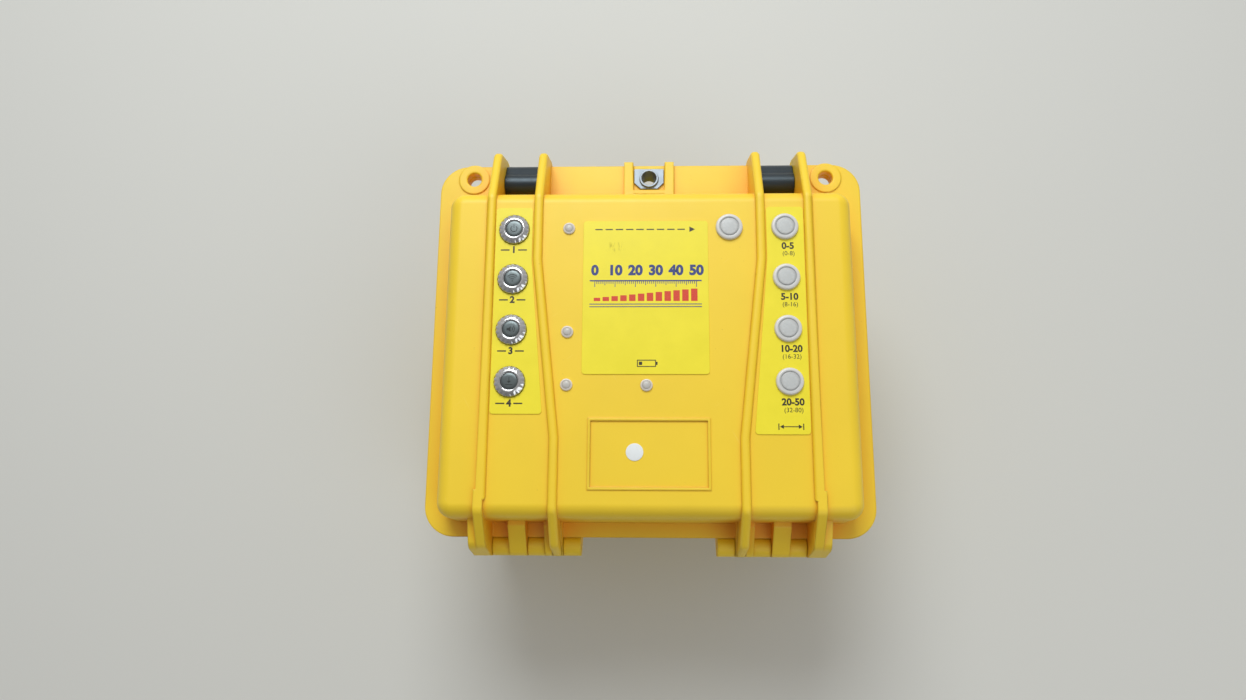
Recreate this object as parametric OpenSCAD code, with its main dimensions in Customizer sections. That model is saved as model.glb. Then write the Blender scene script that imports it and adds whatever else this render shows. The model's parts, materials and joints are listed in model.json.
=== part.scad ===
// Portable lightning warning set in a hard carry case, with its panel on the lid.
// The case lies on its base. Up is out of the panel, plus Y is the latch side, minus Y the hinge side.
// X and Y are measured from the middle of the flange, Z from the surface that the case rests on.

/* [Case] */
// Width of the case over its flange
case_w = 270; // [264:1:290]
// Depth of the flange, from the hinge edge to the latch edge
case_d = 236; // [232:1:250]
// Reach of the hinges and of the latches past the flange edge
hinge_out = 10.8; // [10:0.2:14]
// Height of the parting line over the feet
base_h = 134.5; // [124:0.5:150]
// Height of the lid face over the parting line
lid_h = 39.5; // [38:0.5:46]
// Thickness of the moulded walls
wall = 3.5; // [3:0.1:4]
// Thickness of each flange
flange_t = 5.5; // [5:0.1:6]
// Corner radius of the flange
flange_r = 18; // [15:1:22]
// Ledge between the flange edge and each side wall
side_ledge = 11.5; // [10:0.5:13]
// Ledge between the flange edge and the back wall
hinge_ledge = 8.5; // [8:0.5:9.5]
// Shelf between the flange edge and the front wall
latch_shelf = 28; // [27:0.5:30]
// Inward draft of each lid wall, from the parting line to the face
lid_draft = 2; // [1:0.5:3]
// Inward draft of each base wall, from the parting line to the floor
base_draft = 4.5; // [3:0.5:6]
// Radius round the lid face and the floor
edge_r = 9; // [7:0.5:11]
// Corner radius of the walls at the parting line
corner_r = 12; // [11:0.5:16]

/* [Ribs] */
// Width of each rib
rib_w = 5.4; // [4.6:0.1:6]
// Height of each rib over the surface that carries it
rib_h = 2.4; // [1.8:0.1:3]
// Distance from the side wall to the middle of the outer rib
outer_rib_in = 28.5; // [27:0.5:31]
// Distance between the outer and the inner rib at the latch side
rib_pitch = 28.6; // [27.6:0.1:30]
// Shift of each inner rib towards the middle on its way to the hinge
rib_slant = 11.9; // [10:0.1:13]
// Reach of the latch fins past the flange edge at the parting line
fin_out = 6.5; // [5:0.5:8]
// Height of the shoulder of each fin over the parting line
fin_shoulder_h = 25.5; // [23:0.5:28]

/* [Hinges] */
// Radius of the hinge knuckles
knuckle_r = 6; // [5.5:0.1:6.5]
// Length of each knuckle with its gap
knuckle_pitch = 10.6; // [10:0.1:11]
// Distance from the middle of the outer rib to the end of its hinge
hinge_past_rib = 9; // [8:0.5:10]
// Radius of the hinge pins
pin_r = 2; // [1.6:0.1:2.4]
// Reach of the hinge arms along the walls
arm_h = 18; // [14:1:22]

/* [Latches] */
// Radius of the barrel of each latch
barrel_r = 6.8; // [6:0.1:7]
// Distance from the front wall to the latch pin
latch_pin_out = 14; // [13.5:0.5:15]
// Height of the latch pin over the parting line
latch_pin_h = 8.5; // [8:0.5:10]
// Radius of the latch pins
latch_pin_r = 2; // [1.6:0.1:2.4]
// Drop from the latch pin to the lever pin
lever_drop = 26.5; // [26:0.5:28]
// Distance of the lever pin in front of the latch pin
lever_out = 11.5; // [11:0.5:12.5]
// Radius of the knuckles at the lever pin
lever_knuckle_r = 4; // [3.6:0.1:4.4]
// Radius of the lever pins
lever_pin_r = 1.5; // [1.2:0.1:1.8]
// Length of the lever below its pin
lever_len = 29; // [24:1:34]

/* [Handle] */
// Room between each handle arm and the inner rib
handle_side = 9.4; // [8.4:0.2:12]
// Distance from the handle pins to the far side of the grip
handle_reach = 61; // [54:1:66]
// Width of each handle arm
handle_arm_w = 8; // [7:0.5:10]
// Thickness of the handle arms
handle_t = 11; // [10:0.5:12]
// Radius of the grip
grip_r = 7.5; // [6.5:0.5:8]
// Radius of the handle pins
handle_pin_r = 2; // [1.6:0.1:2.4]

/* [Locks] */
// Distance of each padlock hole from the side edge of the flange
lock_side = 21.6; // [19:0.2:23]
// Distance of the padlock holes from the flange edge
lock_in = 9; // [8.5:0.5:10]
// Radius of the padlock holes
lock_r = 4.5; // [4:0.1:5]
// Radius of the boss round each padlock hole
lock_boss_r = 10; // [9:0.5:10.5]
// Radius of the hole in the middle plates
hasp_r = 4.75; // [4:0.05:5]
// Width of the middle plates
hasp_w = 19; // [17:0.5:20]

/* [Buttons] */
// Radius of the bezels
bezel_r = 9; // [8.5:0.1:9.4]
// Radius of the threaded bodies
thread_r = 7.9; // [7.5:0.1:8]
// Radius of the caps that are pressed
cap_r = 5.05; // [4.6:0.05:5.4]
// Travel of the caps
cap_travel = 1.5; // [0.5:0.1:2]
// Length of the threaded bodies
button_len = 20; // [18:0.5:21]

/* [Lights] */
// Radius of the large lenses
lens_r = 8; // [7.4:0.1:8.4]
// Height of the large lenses over the panel
lens_h = 2.8; // [2:0.1:3.4]
// Radius of the shank of the large lenses
lens_shank_r = 6.2; // [5.6:0.1:6.6]
// Length of the shank of the large lenses
lens_len = 12; // [10:0.5:14]
// Radius of the small lenses
small_lens_r = 3.6; // [3.2:0.1:4]

/* [Labels] */
// Thickness of the labels
label_t = 0.5; // [0.3:0.1:0.8]
// Room between the middle label and each inner rib at its lower end
centre_label_side = 17.4; // [15:0.2:22]

/* [Inside] */
// Thickness of the cover behind the panel
cover_t = 2; // [1.6:0.1:2.5]
// Room between the circuit board and the nuts of the buttons
board_side = 12.7; // [11:0.1:16]
// Depth of the circuit board
board_d = 92; // [80:1:96]
// Width of the battery
battery_w = 65; // [60:1:68]
// Room before and behind the battery on the floor
battery_room = 10.7; // [8:0.1:16]
// Height of the battery
battery_h = 94; // [90:1:98]
// Radius of the ferrite rod
rod_r = 5; // [4:0.5:6]

/* [Hidden] */

// Allowances that all pieces share
over = 1;
fit = 0.05;
gap = 0.3;
round_fn = 64;
ball_fn = 32;
arc_steps = 8;

// Places that follow from the case
z_part = base_h;
z_face = base_h + lid_h;
y_edge = case_d / 2;
x_wall = case_w / 2 - side_ledge;
y_back = hinge_ledge - y_edge;
y_front = y_edge - latch_shelf;
x_outer = x_wall - outer_rib_in;
x_inner = x_outer - rib_pitch;
x_low = x_inner - rib_slant;
x_column = (x_outer + x_inner) / 2;
reach_y = y_edge + hinge_out;
y_axis = knuckle_r - reach_y;
panel_d = y_front - y_back;

// Place along the panel, as a share of its depth from the hinge side
function panel_y(share) = y_back + panel_d * share;

slant_front_share = 0.769;
slant_back_share = 0.238;
slant_front = panel_y(slant_front_share);
slant_back = panel_y(slant_back_share);

// Soft edges of the ribs and fins
fin_shoulder_out = 1;
fin_start_in = 4;
back_shoulder_out = 6;
shoulder_r = 8;
crest_r = 7;
rib_root = 12;

// Latch places
y_latch = y_front + latch_pin_out;
z_latch = z_part + latch_pin_h;
y_lever = y_latch + lever_out;
z_lever = z_latch - lever_drop;
latch_x0 = x_inner + rib_w / 2;
latch_x1 = x_outer - rib_w / 2;
latch_mid = (latch_x0 + latch_x1) / 2;
latch_w = latch_x1 - latch_x0 - 2 * gap;
lip_in = 8;
y_lip = y_edge - lip_in;
notch_gap = 1.5;

// Handle places
handle_w = 2 * (x_inner - handle_side);
y_handle = y_front + 16.5;
z_handle = z_part - 15;
handle_x = handle_w / 2 - handle_arm_w / 2;
ear_t = 4;
ear_r = 6;

// Lock places
lock_x = case_w / 2 - lock_side;
y_lock = y_edge - lock_in;
lock_boss_h = 0.8;
hasp_wall = 1.3;
hasp_t = 1.5;
hasp_collar_h = 1.5;
hasp_d = 13.5;
y_hasp = y_edge - 9.5;
hasp_chamfer = 4;
hasp_rib_w = 6;
hasp_rib_h = 2.2;
hasp_frame_w = 3;

// Hinges: six knuckles a side, the lid has the first, third and fifth
knuckle_count = 6;
hinge_x0 = x_outer + hinge_past_rib;
pin_hole_r = pin_r + fit;

// Seal places
groove_w = 4;
groove_t = 3;
groove_out = 1.6;
tongue_w = 1.6;
tongue_h = 0.8;

// Button places
button_count = 4;
button_share = 0.862;
button_pitch_share = 0.1544;
button_y = panel_y(button_share);
button_pitch = panel_d * button_pitch_share;
seal_t = 0.6;
z_label = z_face + label_t;
z_bezel = z_label + seal_t;
button_hole_r = thread_r + 0.2;
bezel_h = 2.2;
bezel_edge_h = 0.8;
bezel_bevel = 1.1;
bezel_land = 0.5;
bezel_dish_h = 0.9;
ring_w = 0.6;
ring_h = 2;
cap_h = 1.7;
cap_skirt = 6;
cap_bevel = 0.4;
nut_r = 11;
nut_t = 3;
switch_h = 7;
switch_r = 7;
tab_w = 2.8;
tab_t = 0.8;
tab_h = 5;

// Light places
light_share = 0.8685;
light_pitch_share = 0.156;
light_y = panel_y(light_share);
light_pitch = panel_d * light_pitch_share;
light_count = 4;
lens_hole_r = lens_shank_r + 0.15;
lens_edge_h = 1;
lens_bevel = 1;
lens_groove_w = 0.7;
lens_groove_h = 1.5;
lens_disc_r = 5.2;
lens_bore_r = 3;
lens_nut_r = 9.2;
led_r = 2.5;
led_h = 7;
led_foot_r = lens_bore_r - fit;
led_foot_h = 1;
led_leg_r = 0.3;
led_leg_h = 3.4;
led_leg_x = 1.27;
alert_in = 18.6;
alert_x = x_inner - alert_in;
small_lens_h = 1.8;
small_edge_h = 0.7;
small_bevel = 0.8;
small_shank_r = 2.6;
small_hole_r = small_shank_r + 0.1;
small_len = 8;
small_bore_r = 1.8;
small_led_r = 1.5;
small_led_h = 5;
small_x_shares = [-1, -1, -1, -0.03];
small_y_shares = [0.866, 0.5475, 0.3905, 0.3895];
small_spots = [for (i = [0:3]) [alert_x * small_x_shares[i], panel_y(small_y_shares[i])]];

// Label places
label_in = 3.4;
label_low_in = 5.5;
label_r = 2;
label_top_share = 0.932;
button_label_share = 0.305;
range_label_share = 0.248;
centre_top_share = 0.889;
centre_low_share = 0.4215;
label_top = panel_y(label_top_share);
button_label_low = panel_y(button_label_share);
range_label_low = panel_y(range_label_share);
centre_label_w = 2 * (x_low - centre_label_side);
centre_label_x = -2;
centre_label_top = panel_y(centre_top_share);
centre_label_low = panel_y(centre_low_share);
hole_gap = 0.15;

// Name field: a shallow recess with a raised bead, left bare, and a vent disc in it
field_side = 19.5;
field_w = 2 * (x_low - field_side);
field_share = 0.192;
field_d_share = 0.204;
field_d = panel_d * field_d_share;
field_y = panel_y(field_share);
field_bead_w = 1.5;
field_bead_h = 0.5;
field_sink = 0.4;
field_r = 2;
vent_r = 5;
vent_t = 0.4;
vent_share = 0.2343;
vent_x = -field_w / 2 * vent_share;
vent_up = 1;
vent_y = field_y + vent_up;

// Lid inside
cover_sink = 3.5;
cover_gap = 1.2;
z_cover = z_part + cover_sink;
boss_r = 5.5;
boss_in = 5;
screw_r = 1.5;
screw_head_r = 2.8;
screw_head_h = 1.9;
screw_len = 10;
gland_r = 6;
gland_h = 2;
gland_in = 13;
board_t = 1.6;
board_y = 0;
board_w = 2 * (x_column - nut_r - board_side);
board_r = 3;
standoff_len = 12;
standoff_r = 2.5;
standoff_in = 5;
stud_r = 1.4;
stud_nut_r = 2.7;
stud_nut_h = 1.8;
z_inner = z_face - wall;
z_board = z_inner - standoff_len - board_t;

// Base inside
z_floor = rib_h;
z_inside = z_floor + wall;
battery_y = (y_back + y_front) / 2;
battery_d = panel_d - 2 * (base_draft + edge_r + battery_room);
battery_r = 3;
lid_line_h = 8;
terminal_w = 10;
terminal_d = 6;
terminal_h = 5;
tray_t = 1.6;
tray_h = 14;
strap_t = 1.2;
strap_w = 22;
strap_foot = 10;
strap_hole_in = 5.5;
strap_screw_len = 2.6;
strap_in_w = battery_w + 2 * (tray_t + gap) + 2 * gap;
battery_x = base_draft + edge_r + gap + strap_foot + strap_in_w / 2 - x_wall;
strap_spots = [
    for (side = [-1, 1])
        [battery_x + side * (strap_in_w / 2 + strap_hole_in), battery_y]
];
rod_up = 15;
rod_room = 2 * x_wall - 2 * (base_draft + edge_r + gap) - strap_foot - strap_in_w;
rod_share = 0.857;
rod_len = rod_room * rod_share;
rod_x = x_wall - base_draft - edge_r - gap - rod_room / 2;
coil_len = 44;
coil_r = 7.5;
clip_w = 8;
clip_r = 8;
clip_foot = 24;
clip_foot_h = 4;
clip_in = 12;
rod_y = y_back + base_draft + edge_r + gap + clip_foot / 2;

// Panel lead: it leaves the battery backwards and enters the gland upwards
lead_r = 2.4;
lead_sides = 8;
lead_steps = 10;
lead_pull = 30;
lead_side = 12.5;
terminal_x = battery_x + battery_w / 2 - terminal_w;
gland_x = terminal_x + lead_side;
lead_start = [
    terminal_x,
    battery_y + terminal_d / 2 - battery_d / 2,
    z_inside + tray_t + battery_h + terminal_h / 2
];
lead_end = [gland_x, y_back + gland_in + wall, z_cover - gland_h];
lead_guides = [lead_start, lead_start - [0, lead_pull, 0], lead_end - [0, 0, lead_pull], lead_end];

// Direction from one point to another
function toward(a, b) = (b - a) / norm(b - a);

// Points of one corner rounded by a radius
function corner(a, b, c, r) =
    let (
        u = toward(b, a),
        v = toward(b, c),
        half = acos(u * v) / 2,
        middle = b + toward([0, 0], u + v) * r / sin(half),
        start = b + u * r / tan(half) - middle,
        end = b + v * r / tan(half) - middle,
        from = atan2(start[1], start[0]),
        turn = atan2(end[1], end[0]) - from,
        sweep = turn > 180 ? turn - 360 : turn < -180 ? turn + 360 : turn
    )
    r == 0 ? [b] : [
        for (i = [0:arc_steps])
            let (angle = from + sweep * i / arc_steps)
            middle + r * [cos(angle), sin(angle)]
    ];

// Outline whose corners are rounded, each by its own radius
function rounded(p, radii) = [
    for (i = [0:len(p) - 1])
        each corner(p[(i + len(p) - 1) % len(p)], p[i], p[(i + 1) % len(p)], radii[i])
];

// Plate that stands across X, from an outline in Y and Z
module plate_x(middle, width, outline) {
    translate([middle - width / 2, 0, 0])
        rotate([90, 0, 90])
            linear_extrude(width)
                polygon(outline);
}

// Rod along X
module rod_along_x(middle, length, y, z, r) {
    translate([middle - length / 2, y, z])
        rotate([0, 90, 0])
            cylinder(h = length, r = r, $fn = round_fn);
}

// Flat rectangle with round corners
module round_rect(x0, x1, y0, y1, r) {
    translate([x0 + r, y0])
        square([x1 - x0 - 2 * r, y1 - y0]);
    translate([x0, y0 + r])
        square([x1 - x0, y1 - y0 - 2 * r]);
    for (x = [x0 + r, x1 - r], y = [y0 + r, y1 - r])
        translate([x, y])
            circle(r = r, $fn = round_fn);
}

// Rectangle with round corners, drawn outside or inside the walls at the parting line
module wall_rect(out) {
    round_rect(-x_wall - out, x_wall + out, y_back - out, y_front + out, corner_r + out);
}

// Both sides of the case
module both_sides() {
    children();
    mirror([1, 0, 0])
        children();
}

// Soft box between the parting line and the face or the floor
module tub(z_open, z_shut, in, draft) {
    way = sign(z_shut - z_open);
    ball = edge_r - in;
    foot = corner_r - in;
    hull()
        for (side = [-1, 1], end = [0, 1]) {
            wall_y = end == 0 ? y_back + in : y_front - in;
            step = end == 0 ? 1 : -1;
            translate([side * (x_wall - in - foot), wall_y + step * foot, min(z_open, z_open + way * over)])
                cylinder(h = over, r = foot, $fn = ball_fn);
            translate([
                side * (x_wall - in - draft - ball),
                wall_y + step * (draft + ball),
                z_shut - way * ball
            ])
                sphere(r = ball / cos(180 / ball_fn), $fn = ball_fn);
        }
}

// Flange plate on one side of the parting line
module flange(z0) {
    translate([0, 0, z0])
        linear_extrude(flange_t)
            round_rect(-case_w / 2, case_w / 2, -y_edge, y_edge, flange_r);
}

// Outline of a lid or base rib over its own wall, from the parting line up or down
function fin_outline(way, height, draft) =
    let (
        z_top = z_part + way * (height + rib_h),
        y_top = y_front - draft - fin_start_in,
        z_in = z_part + way * (height - rib_root)
    )
    rounded(
        [
            [y_front - rib_root, z_part],
            [y_edge + fin_out, z_part],
            [y_edge + fin_shoulder_out, z_part + way * fin_shoulder_h],
            [y_top, z_top],
            [y_top - rib_root, z_top],
            [y_front - rib_root, z_in]
        ],
        [0, 0, shoulder_r, crest_r, 0, 0]
    );

// Outline of the fin that runs from the face over the back edge to a hinge knuckle
function back_fin_outline(height, draft) =
    let (z_top = z_part + height + rib_h, y_top = y_back + draft + fin_start_in)
    rounded(
        [
            [y_axis - knuckle_r, z_part - knuckle_r],
            [y_axis + knuckle_r, z_part - knuckle_r],
            [y_axis + knuckle_r, z_part],
            [y_back + rib_root, z_part],
            [y_back + rib_root, z_part + height - rib_root],
            [y_top + rib_root, z_top],
            [y_top, z_top],
            [-y_edge - back_shoulder_out, z_part + fin_shoulder_h],
            [y_axis - knuckle_r, z_part + knuckle_r]
        ],
        [knuckle_r, knuckle_r, 0, 0, 0, 0, crest_r, shoulder_r, 0]
    );

// Outline of a plain hinge arm on the lid, way 1, or on the base, way -1
function arm_outline(way) =
    rounded(
        [
            [y_axis - knuckle_r, z_part - way * knuckle_r],
            [y_axis + knuckle_r, z_part - way * knuckle_r],
            [y_axis + knuckle_r, z_part],
            [y_back + wall / 2, z_part],
            [y_back + wall / 2, z_part + way * arm_h],
            [y_back - wall / 2, z_part + way * arm_h],
            [y_axis - knuckle_r, z_part + way * knuckle_r]
        ],
        [knuckle_r, knuckle_r, 0, 0, 0, wall / 2, knuckle_r]
    );

// Middle of one knuckle along X
function knuckle_x(i) = hinge_x0 - (i + 0.5) * knuckle_pitch;

// Room round the knuckles of the other half, from one hinge
module knuckle_room(first) {
    for (i = [first:2:knuckle_count - 1])
        rod_along_x(knuckle_x(i), knuckle_pitch + gap, y_axis, z_part, knuckle_r + gap);
}

// Band of a rib that slants towards the middle, seen from above
module slant_rib(z0, height) {
    translate([0, 0, z0])
        linear_extrude(height)
            polygon([
                [x_inner - rib_w / 2, y_front - rib_root],
                [x_inner - rib_w / 2, slant_front],
                [x_low - rib_w / 2, slant_back],
                [x_low - rib_w / 2, y_back + rib_root],
                [x_low + rib_w / 2, y_back + rib_root],
                [x_low + rib_w / 2, slant_back],
                [x_inner + rib_w / 2, slant_front],
                [x_inner + rib_w / 2, y_front - rib_root]
            ]);
}

// Straight band of the outer rib
module straight_rib(z0, height) {
    translate([x_outer - rib_w / 2, y_back + rib_root, z0])
        cube([rib_w, y_front - y_back - 2 * rib_root, height]);
}

// Seats for the padlocks, on one side of the parting line
module lock_bosses(z0) {
    for (side = [-1, 1])
        translate([side * lock_x, y_lock, z0])
            cylinder(h = flange_t + lock_boss_h, r = lock_boss_r, $fn = round_fn);
}

// Through holes for the padlocks and the middle plates
module lock_holes(z0) {
    for (side = [-1, 1])
        translate([side * lock_x, y_lock, z0 - over])
            cylinder(h = flange_t + lock_boss_h + 2 * over, r = lock_r, $fn = round_fn);
    translate([0, y_hasp, z0 - over])
        cylinder(h = flange_t + 2 * over, r = hasp_r + hasp_wall, $fn = round_fn);
}

// Raised frame round a middle plate, on one side of the parting line
module hasp_frame(way) {
    z0 = z_part + way * flange_t;
    z1 = z0 + way * hasp_rib_h;
    for (side = [-1, 1])
        plate_x(
            side * (hasp_w / 2 + hasp_rib_w / 2 + over / 2),
            hasp_rib_w,
            rounded(
                [
                    [y_front - wall / 2, z_part + way * flange_t / 2],
                    [y_edge + hasp_rib_h, z_part + way * flange_t / 2],
                    [y_edge + hasp_rib_h, z1],
                    [y_hasp - hasp_d / 2 - hasp_frame_w, z1],
                    [y_front - wall / 2, z1 + way * hasp_frame_w]
                ],
                [0, 0, hasp_rib_h / 2, 0, 0]
            )
        );
    translate([
        -hasp_w / 2 - over,
        y_hasp - hasp_d / 2 - hasp_frame_w - over,
        min(z_part + way * flange_t / 2, z1)
    ])
        cube([hasp_w + 2 * over, hasp_frame_w, abs(z1 - z_part) - flange_t / 2]);
}

// Slots in the flange where the latches pass
module latch_notches(z0, y0) {
    both_sides()
        translate([latch_x0, y0, z0 - over])
            cube([latch_x1 - latch_x0, case_d, flange_t + 2 * over]);
}

// Holes along X for the latch pins, through the fins of the lid
module latch_pin_holes() {
    both_sides()
        rod_along_x(latch_mid, latch_x1 - latch_x0 + rib_w, y_latch, z_latch, latch_pin_r + fit);
}

// Place of one push button
module at_button(i) {
    translate([-x_column, button_y - i * button_pitch, 0])
        children();
}

// Place of one range light
module at_light(i) {
    translate([x_column, light_y - i * light_pitch, 0])
        children();
}

// Place of the alert light
module at_alert() {
    translate([alert_x, light_y, 0])
        children();
}

// Every hole through the panel, for one side plate or the whole lid
module panel_holes(z0, height, more) {
    translate([0, 0, z0]) {
        for (i = [0:button_count - 1])
            at_button(i)
                cylinder(h = height, r = button_hole_r + more, $fn = round_fn);
        for (i = [0:light_count - 1])
            at_light(i)
                cylinder(h = height, r = lens_hole_r + more, $fn = round_fn);
        at_alert()
            cylinder(h = height, r = lens_hole_r + more, $fn = round_fn);
        for (spot = small_spots)
            translate(spot)
                cylinder(h = height, r = small_hole_r + more, $fn = round_fn);
    }
}

// Places of the cover bosses in the lid
boss_spots = [
    for (x = [-x_wall + wall + boss_in, x_wall - wall - boss_in],
        y = [y_back + wall + boss_in, (y_back + y_front) / 2, y_front - wall - boss_in])
        [x, y]
];

// Places of the board standoffs
standoff_spots = [
    for (x = [-board_w / 2 + standoff_in, board_w / 2 - standoff_in],
        y = [board_y - board_d / 2 + standoff_in, board_y + board_d / 2 - standoff_in])
        [x, y]
];

module lid_shell() {
    color("gold")
        difference() {
            union() {
                tub(z_part, z_face, 0, lid_draft);
                flange(z_part);
                both_sides() {
                    straight_rib(z_face - rib_h, 2 * rib_h);
                    slant_rib(z_face - rib_h, 2 * rib_h);
                    plate_x(x_outer, rib_w, fin_outline(1, lid_h, lid_draft));
                    plate_x(x_inner, rib_w, fin_outline(1, lid_h, lid_draft));
                    plate_x(
                        knuckle_x(0),
                        knuckle_pitch - gap,
                        back_fin_outline(lid_h - rib_h - crest_r, lid_draft)
                    );
                    plate_x(
                        knuckle_x(0) - (knuckle_pitch - rib_w) / 2 + gap,
                        rib_w,
                        back_fin_outline(lid_h, lid_draft)
                    );
                    plate_x(x_low, rib_w, back_fin_outline(lid_h, lid_draft));
                    for (i = [2, 4])
                        plate_x(knuckle_x(i), knuckle_pitch - gap, arm_outline(1));
                }
                lock_bosses(z_part);
                hasp_frame(1);
                translate([-field_w / 2, field_y - field_d / 2, z_face - over])
                    cube([field_w, field_d, over + field_bead_h]);
            }
            difference() {
                tub(z_part - over, z_inner, wall, lid_draft);
                for (spot = boss_spots)
                    translate([spot[0], spot[1], z_cover + cover_t])
                        cylinder(h = lid_h, r = boss_r, $fn = round_fn);
            }
            for (spot = boss_spots)
                translate([spot[0], spot[1], z_cover])
                    cylinder(h = screw_len, r = screw_r + fit, $fn = round_fn);
            translate([field_bead_w - field_w / 2, field_y + field_bead_w - field_d / 2, z_face - field_sink])
                cube([field_w - 2 * field_bead_w, field_d - 2 * field_bead_w, over + field_bead_h]);
            translate([0, 0, z_part - over])
                linear_extrude(groove_t + over)
                    difference() {
                        wall_rect(groove_out);
                        wall_rect(groove_out - groove_w);
                    }
            latch_notches(z_part, y_latch - barrel_r - notch_gap);
            latch_pin_holes();
            lock_holes(z_part);
            panel_holes(z_inner - over, wall + 2 * over, 0);
            both_sides() {
                knuckle_room(1);
                rod_along_x(
                    hinge_x0 - knuckle_count * knuckle_pitch / 2,
                    knuckle_count * knuckle_pitch + over,
                    y_axis,
                    z_part,
                    pin_hole_r
                );
            }
        }
}

module base_shell() {
    color("gold")
        difference() {
            union() {
                tub(z_part, z_floor, 0, base_draft);
                flange(z_part - flange_t);
                both_sides() {
                    straight_rib(0, 2 * rib_h);
                    slant_rib(0, 2 * rib_h);
                    plate_x(x_outer, rib_w, base_rib_outline());
                    plate_x(x_inner, rib_w, base_front_outline());
                    plate_x(x_low, rib_w, base_back_outline());
                    for (i = [1, 3, 5])
                        plate_x(knuckle_x(i), knuckle_pitch - gap, arm_outline(-1));
                    for (side = [-1, 1])
                        plate_x(handle_x + side * (handle_arm_w + 2 * gap + ear_t) / 2, ear_t, ear_outline());
                }
                lock_bosses(z_part - flange_t - lock_boss_h);
                hasp_frame(-1);
                translate([0, 0, z_part - over])
                    linear_extrude(tongue_h + over)
                        difference() {
                            wall_rect(groove_out - (groove_w - tongue_w) / 2);
                            wall_rect(groove_out - (groove_w + tongue_w) / 2);
                        }
            }
            tub(z_part + over, z_inside, wall, base_draft);
            latch_notches(z_part - flange_t, y_lip);
            lock_holes(z_part - flange_t - lock_boss_h);
            both_sides() {
                knuckle_room(0);
                rod_along_x(
                    hinge_x0 - knuckle_count * knuckle_pitch / 2,
                    knuckle_count * knuckle_pitch + over,
                    y_axis,
                    z_part,
                    pin_hole_r
                );
                rod_along_x(
                    handle_x,
                    handle_arm_w + 2 * (gap + ear_t) + over,
                    y_handle,
                    z_handle,
                    handle_pin_r + fit
                );
            }
            for (spot = strap_spots)
                translate([spot[0], spot[1], z_inside - strap_screw_len])
                    cylinder(h = wall, r = screw_r + fit, $fn = round_fn);
            valve_place()
                translate([0, 0, -wall - over])
                    cylinder(h = wall + 2 * over, r = valve_shank_r + fit, $fn = round_fn);
        }
}

// Outlines of the base ribs: latch fin, front rib, foot and back rib in one band
function base_fin_points() = [
    [y_front - rib_root, z_part - flange_t / 2],
    [y_edge + fin_out, z_part],
    [y_edge + fin_shoulder_out, z_part - base_fin_h],
    [y_front - base_draft / 2 + rib_h, z_part - base_fin_h - rib_root]
];
base_fin_h = 22;

function base_front_outline() =
    rounded(
        concat(
            [[y_front - rib_root, z_part]],
            [for (i = [1:3]) base_fin_points()[i]],
            [
                [y_front - base_draft + rib_h - over, edge_r],
                [y_front - base_draft - edge_r, 0],
                [y_front - base_draft - edge_r - rib_root, 0],
                [y_front - rib_root, edge_r + rib_root]
            ]
        ),
        [0, 0, shoulder_r, shoulder_r, edge_r / 2, edge_r, 0, 0]
    );

function base_back_outline() =
    rounded(
        [
            [y_back + rib_root, z_part - flange_t],
            [y_back - rib_h, z_part - flange_t],
            [y_back + base_draft - rib_h + over, edge_r],
            [y_back + base_draft + edge_r, 0],
            [y_back + base_draft + edge_r + rib_root, 0],
            [y_back + rib_root, edge_r + rib_root]
        ],
        [0, 0, edge_r / 2, edge_r, 0, 0]
    );

function base_rib_outline() =
    rounded(
        concat(
            [[y_front - rib_root, z_part]],
            [for (i = [1:3]) base_fin_points()[i]],
            [
                [y_front - base_draft + rib_h - over, edge_r],
                [y_front - base_draft - edge_r, 0],
                [y_back + base_draft + edge_r, 0],
                [y_back + base_draft - rib_h + over, edge_r],
                [y_back - rib_h, z_part - flange_t],
                [y_back + rib_root, z_part - flange_t]
            ]
        ),
        [0, 0, shoulder_r, shoulder_r, edge_r / 2, edge_r, edge_r, edge_r / 2, 0, 0]
    );

// Ear that carries a handle pin, on the front wall under the flange
function ear_outline() =
    rounded(
        [
            [y_front - wall / 2, z_part - flange_t / 2],
            [y_handle + ear_r, z_part - flange_t / 2],
            [y_handle + ear_r, z_handle - ear_r],
            [y_handle - ear_r, z_handle - ear_r],
            [y_front - wall / 2, z_handle - ear_r - latch_pin_out]
        ],
        [0, 0, ear_r, ear_r / 2, 0]
    );

module lid_gasket() {
    color("black")
        translate([0, 0, z_part + tongue_h])
            linear_extrude(groove_t - tongue_h)
                difference() {
                    wall_rect(groove_out);
                    wall_rect(groove_out - groove_w);
                }
}

module hinge_pin() {
    color("silver")
        rod_along_x(
            hinge_x0 - knuckle_count * knuckle_pitch / 2,
            knuckle_count * knuckle_pitch - 2 * gap,
            y_axis,
            z_part,
            pin_r
        );
}

module hinge_pin_left() {
    mirror([1, 0, 0])
        hinge_pin();
}

module hinge_pin_right() {
    hinge_pin();
}

// Values of the latch, kept with it
arm_front = 3;
arm_inner_gap = 1;
arm_top = 5.5;
cheek_share = 0.23;
hook_in = 11;
hook_t = 6;
hook_gap = 1;
lever_t = 6;
tip_bend_share = 0.7;
cheek_w = latch_w * cheek_share;

// Radius round the latch pin that clears the lip of the base
hook_r = norm([y_lip - y_latch, z_part - flange_t - z_latch]) + hook_gap;

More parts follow.
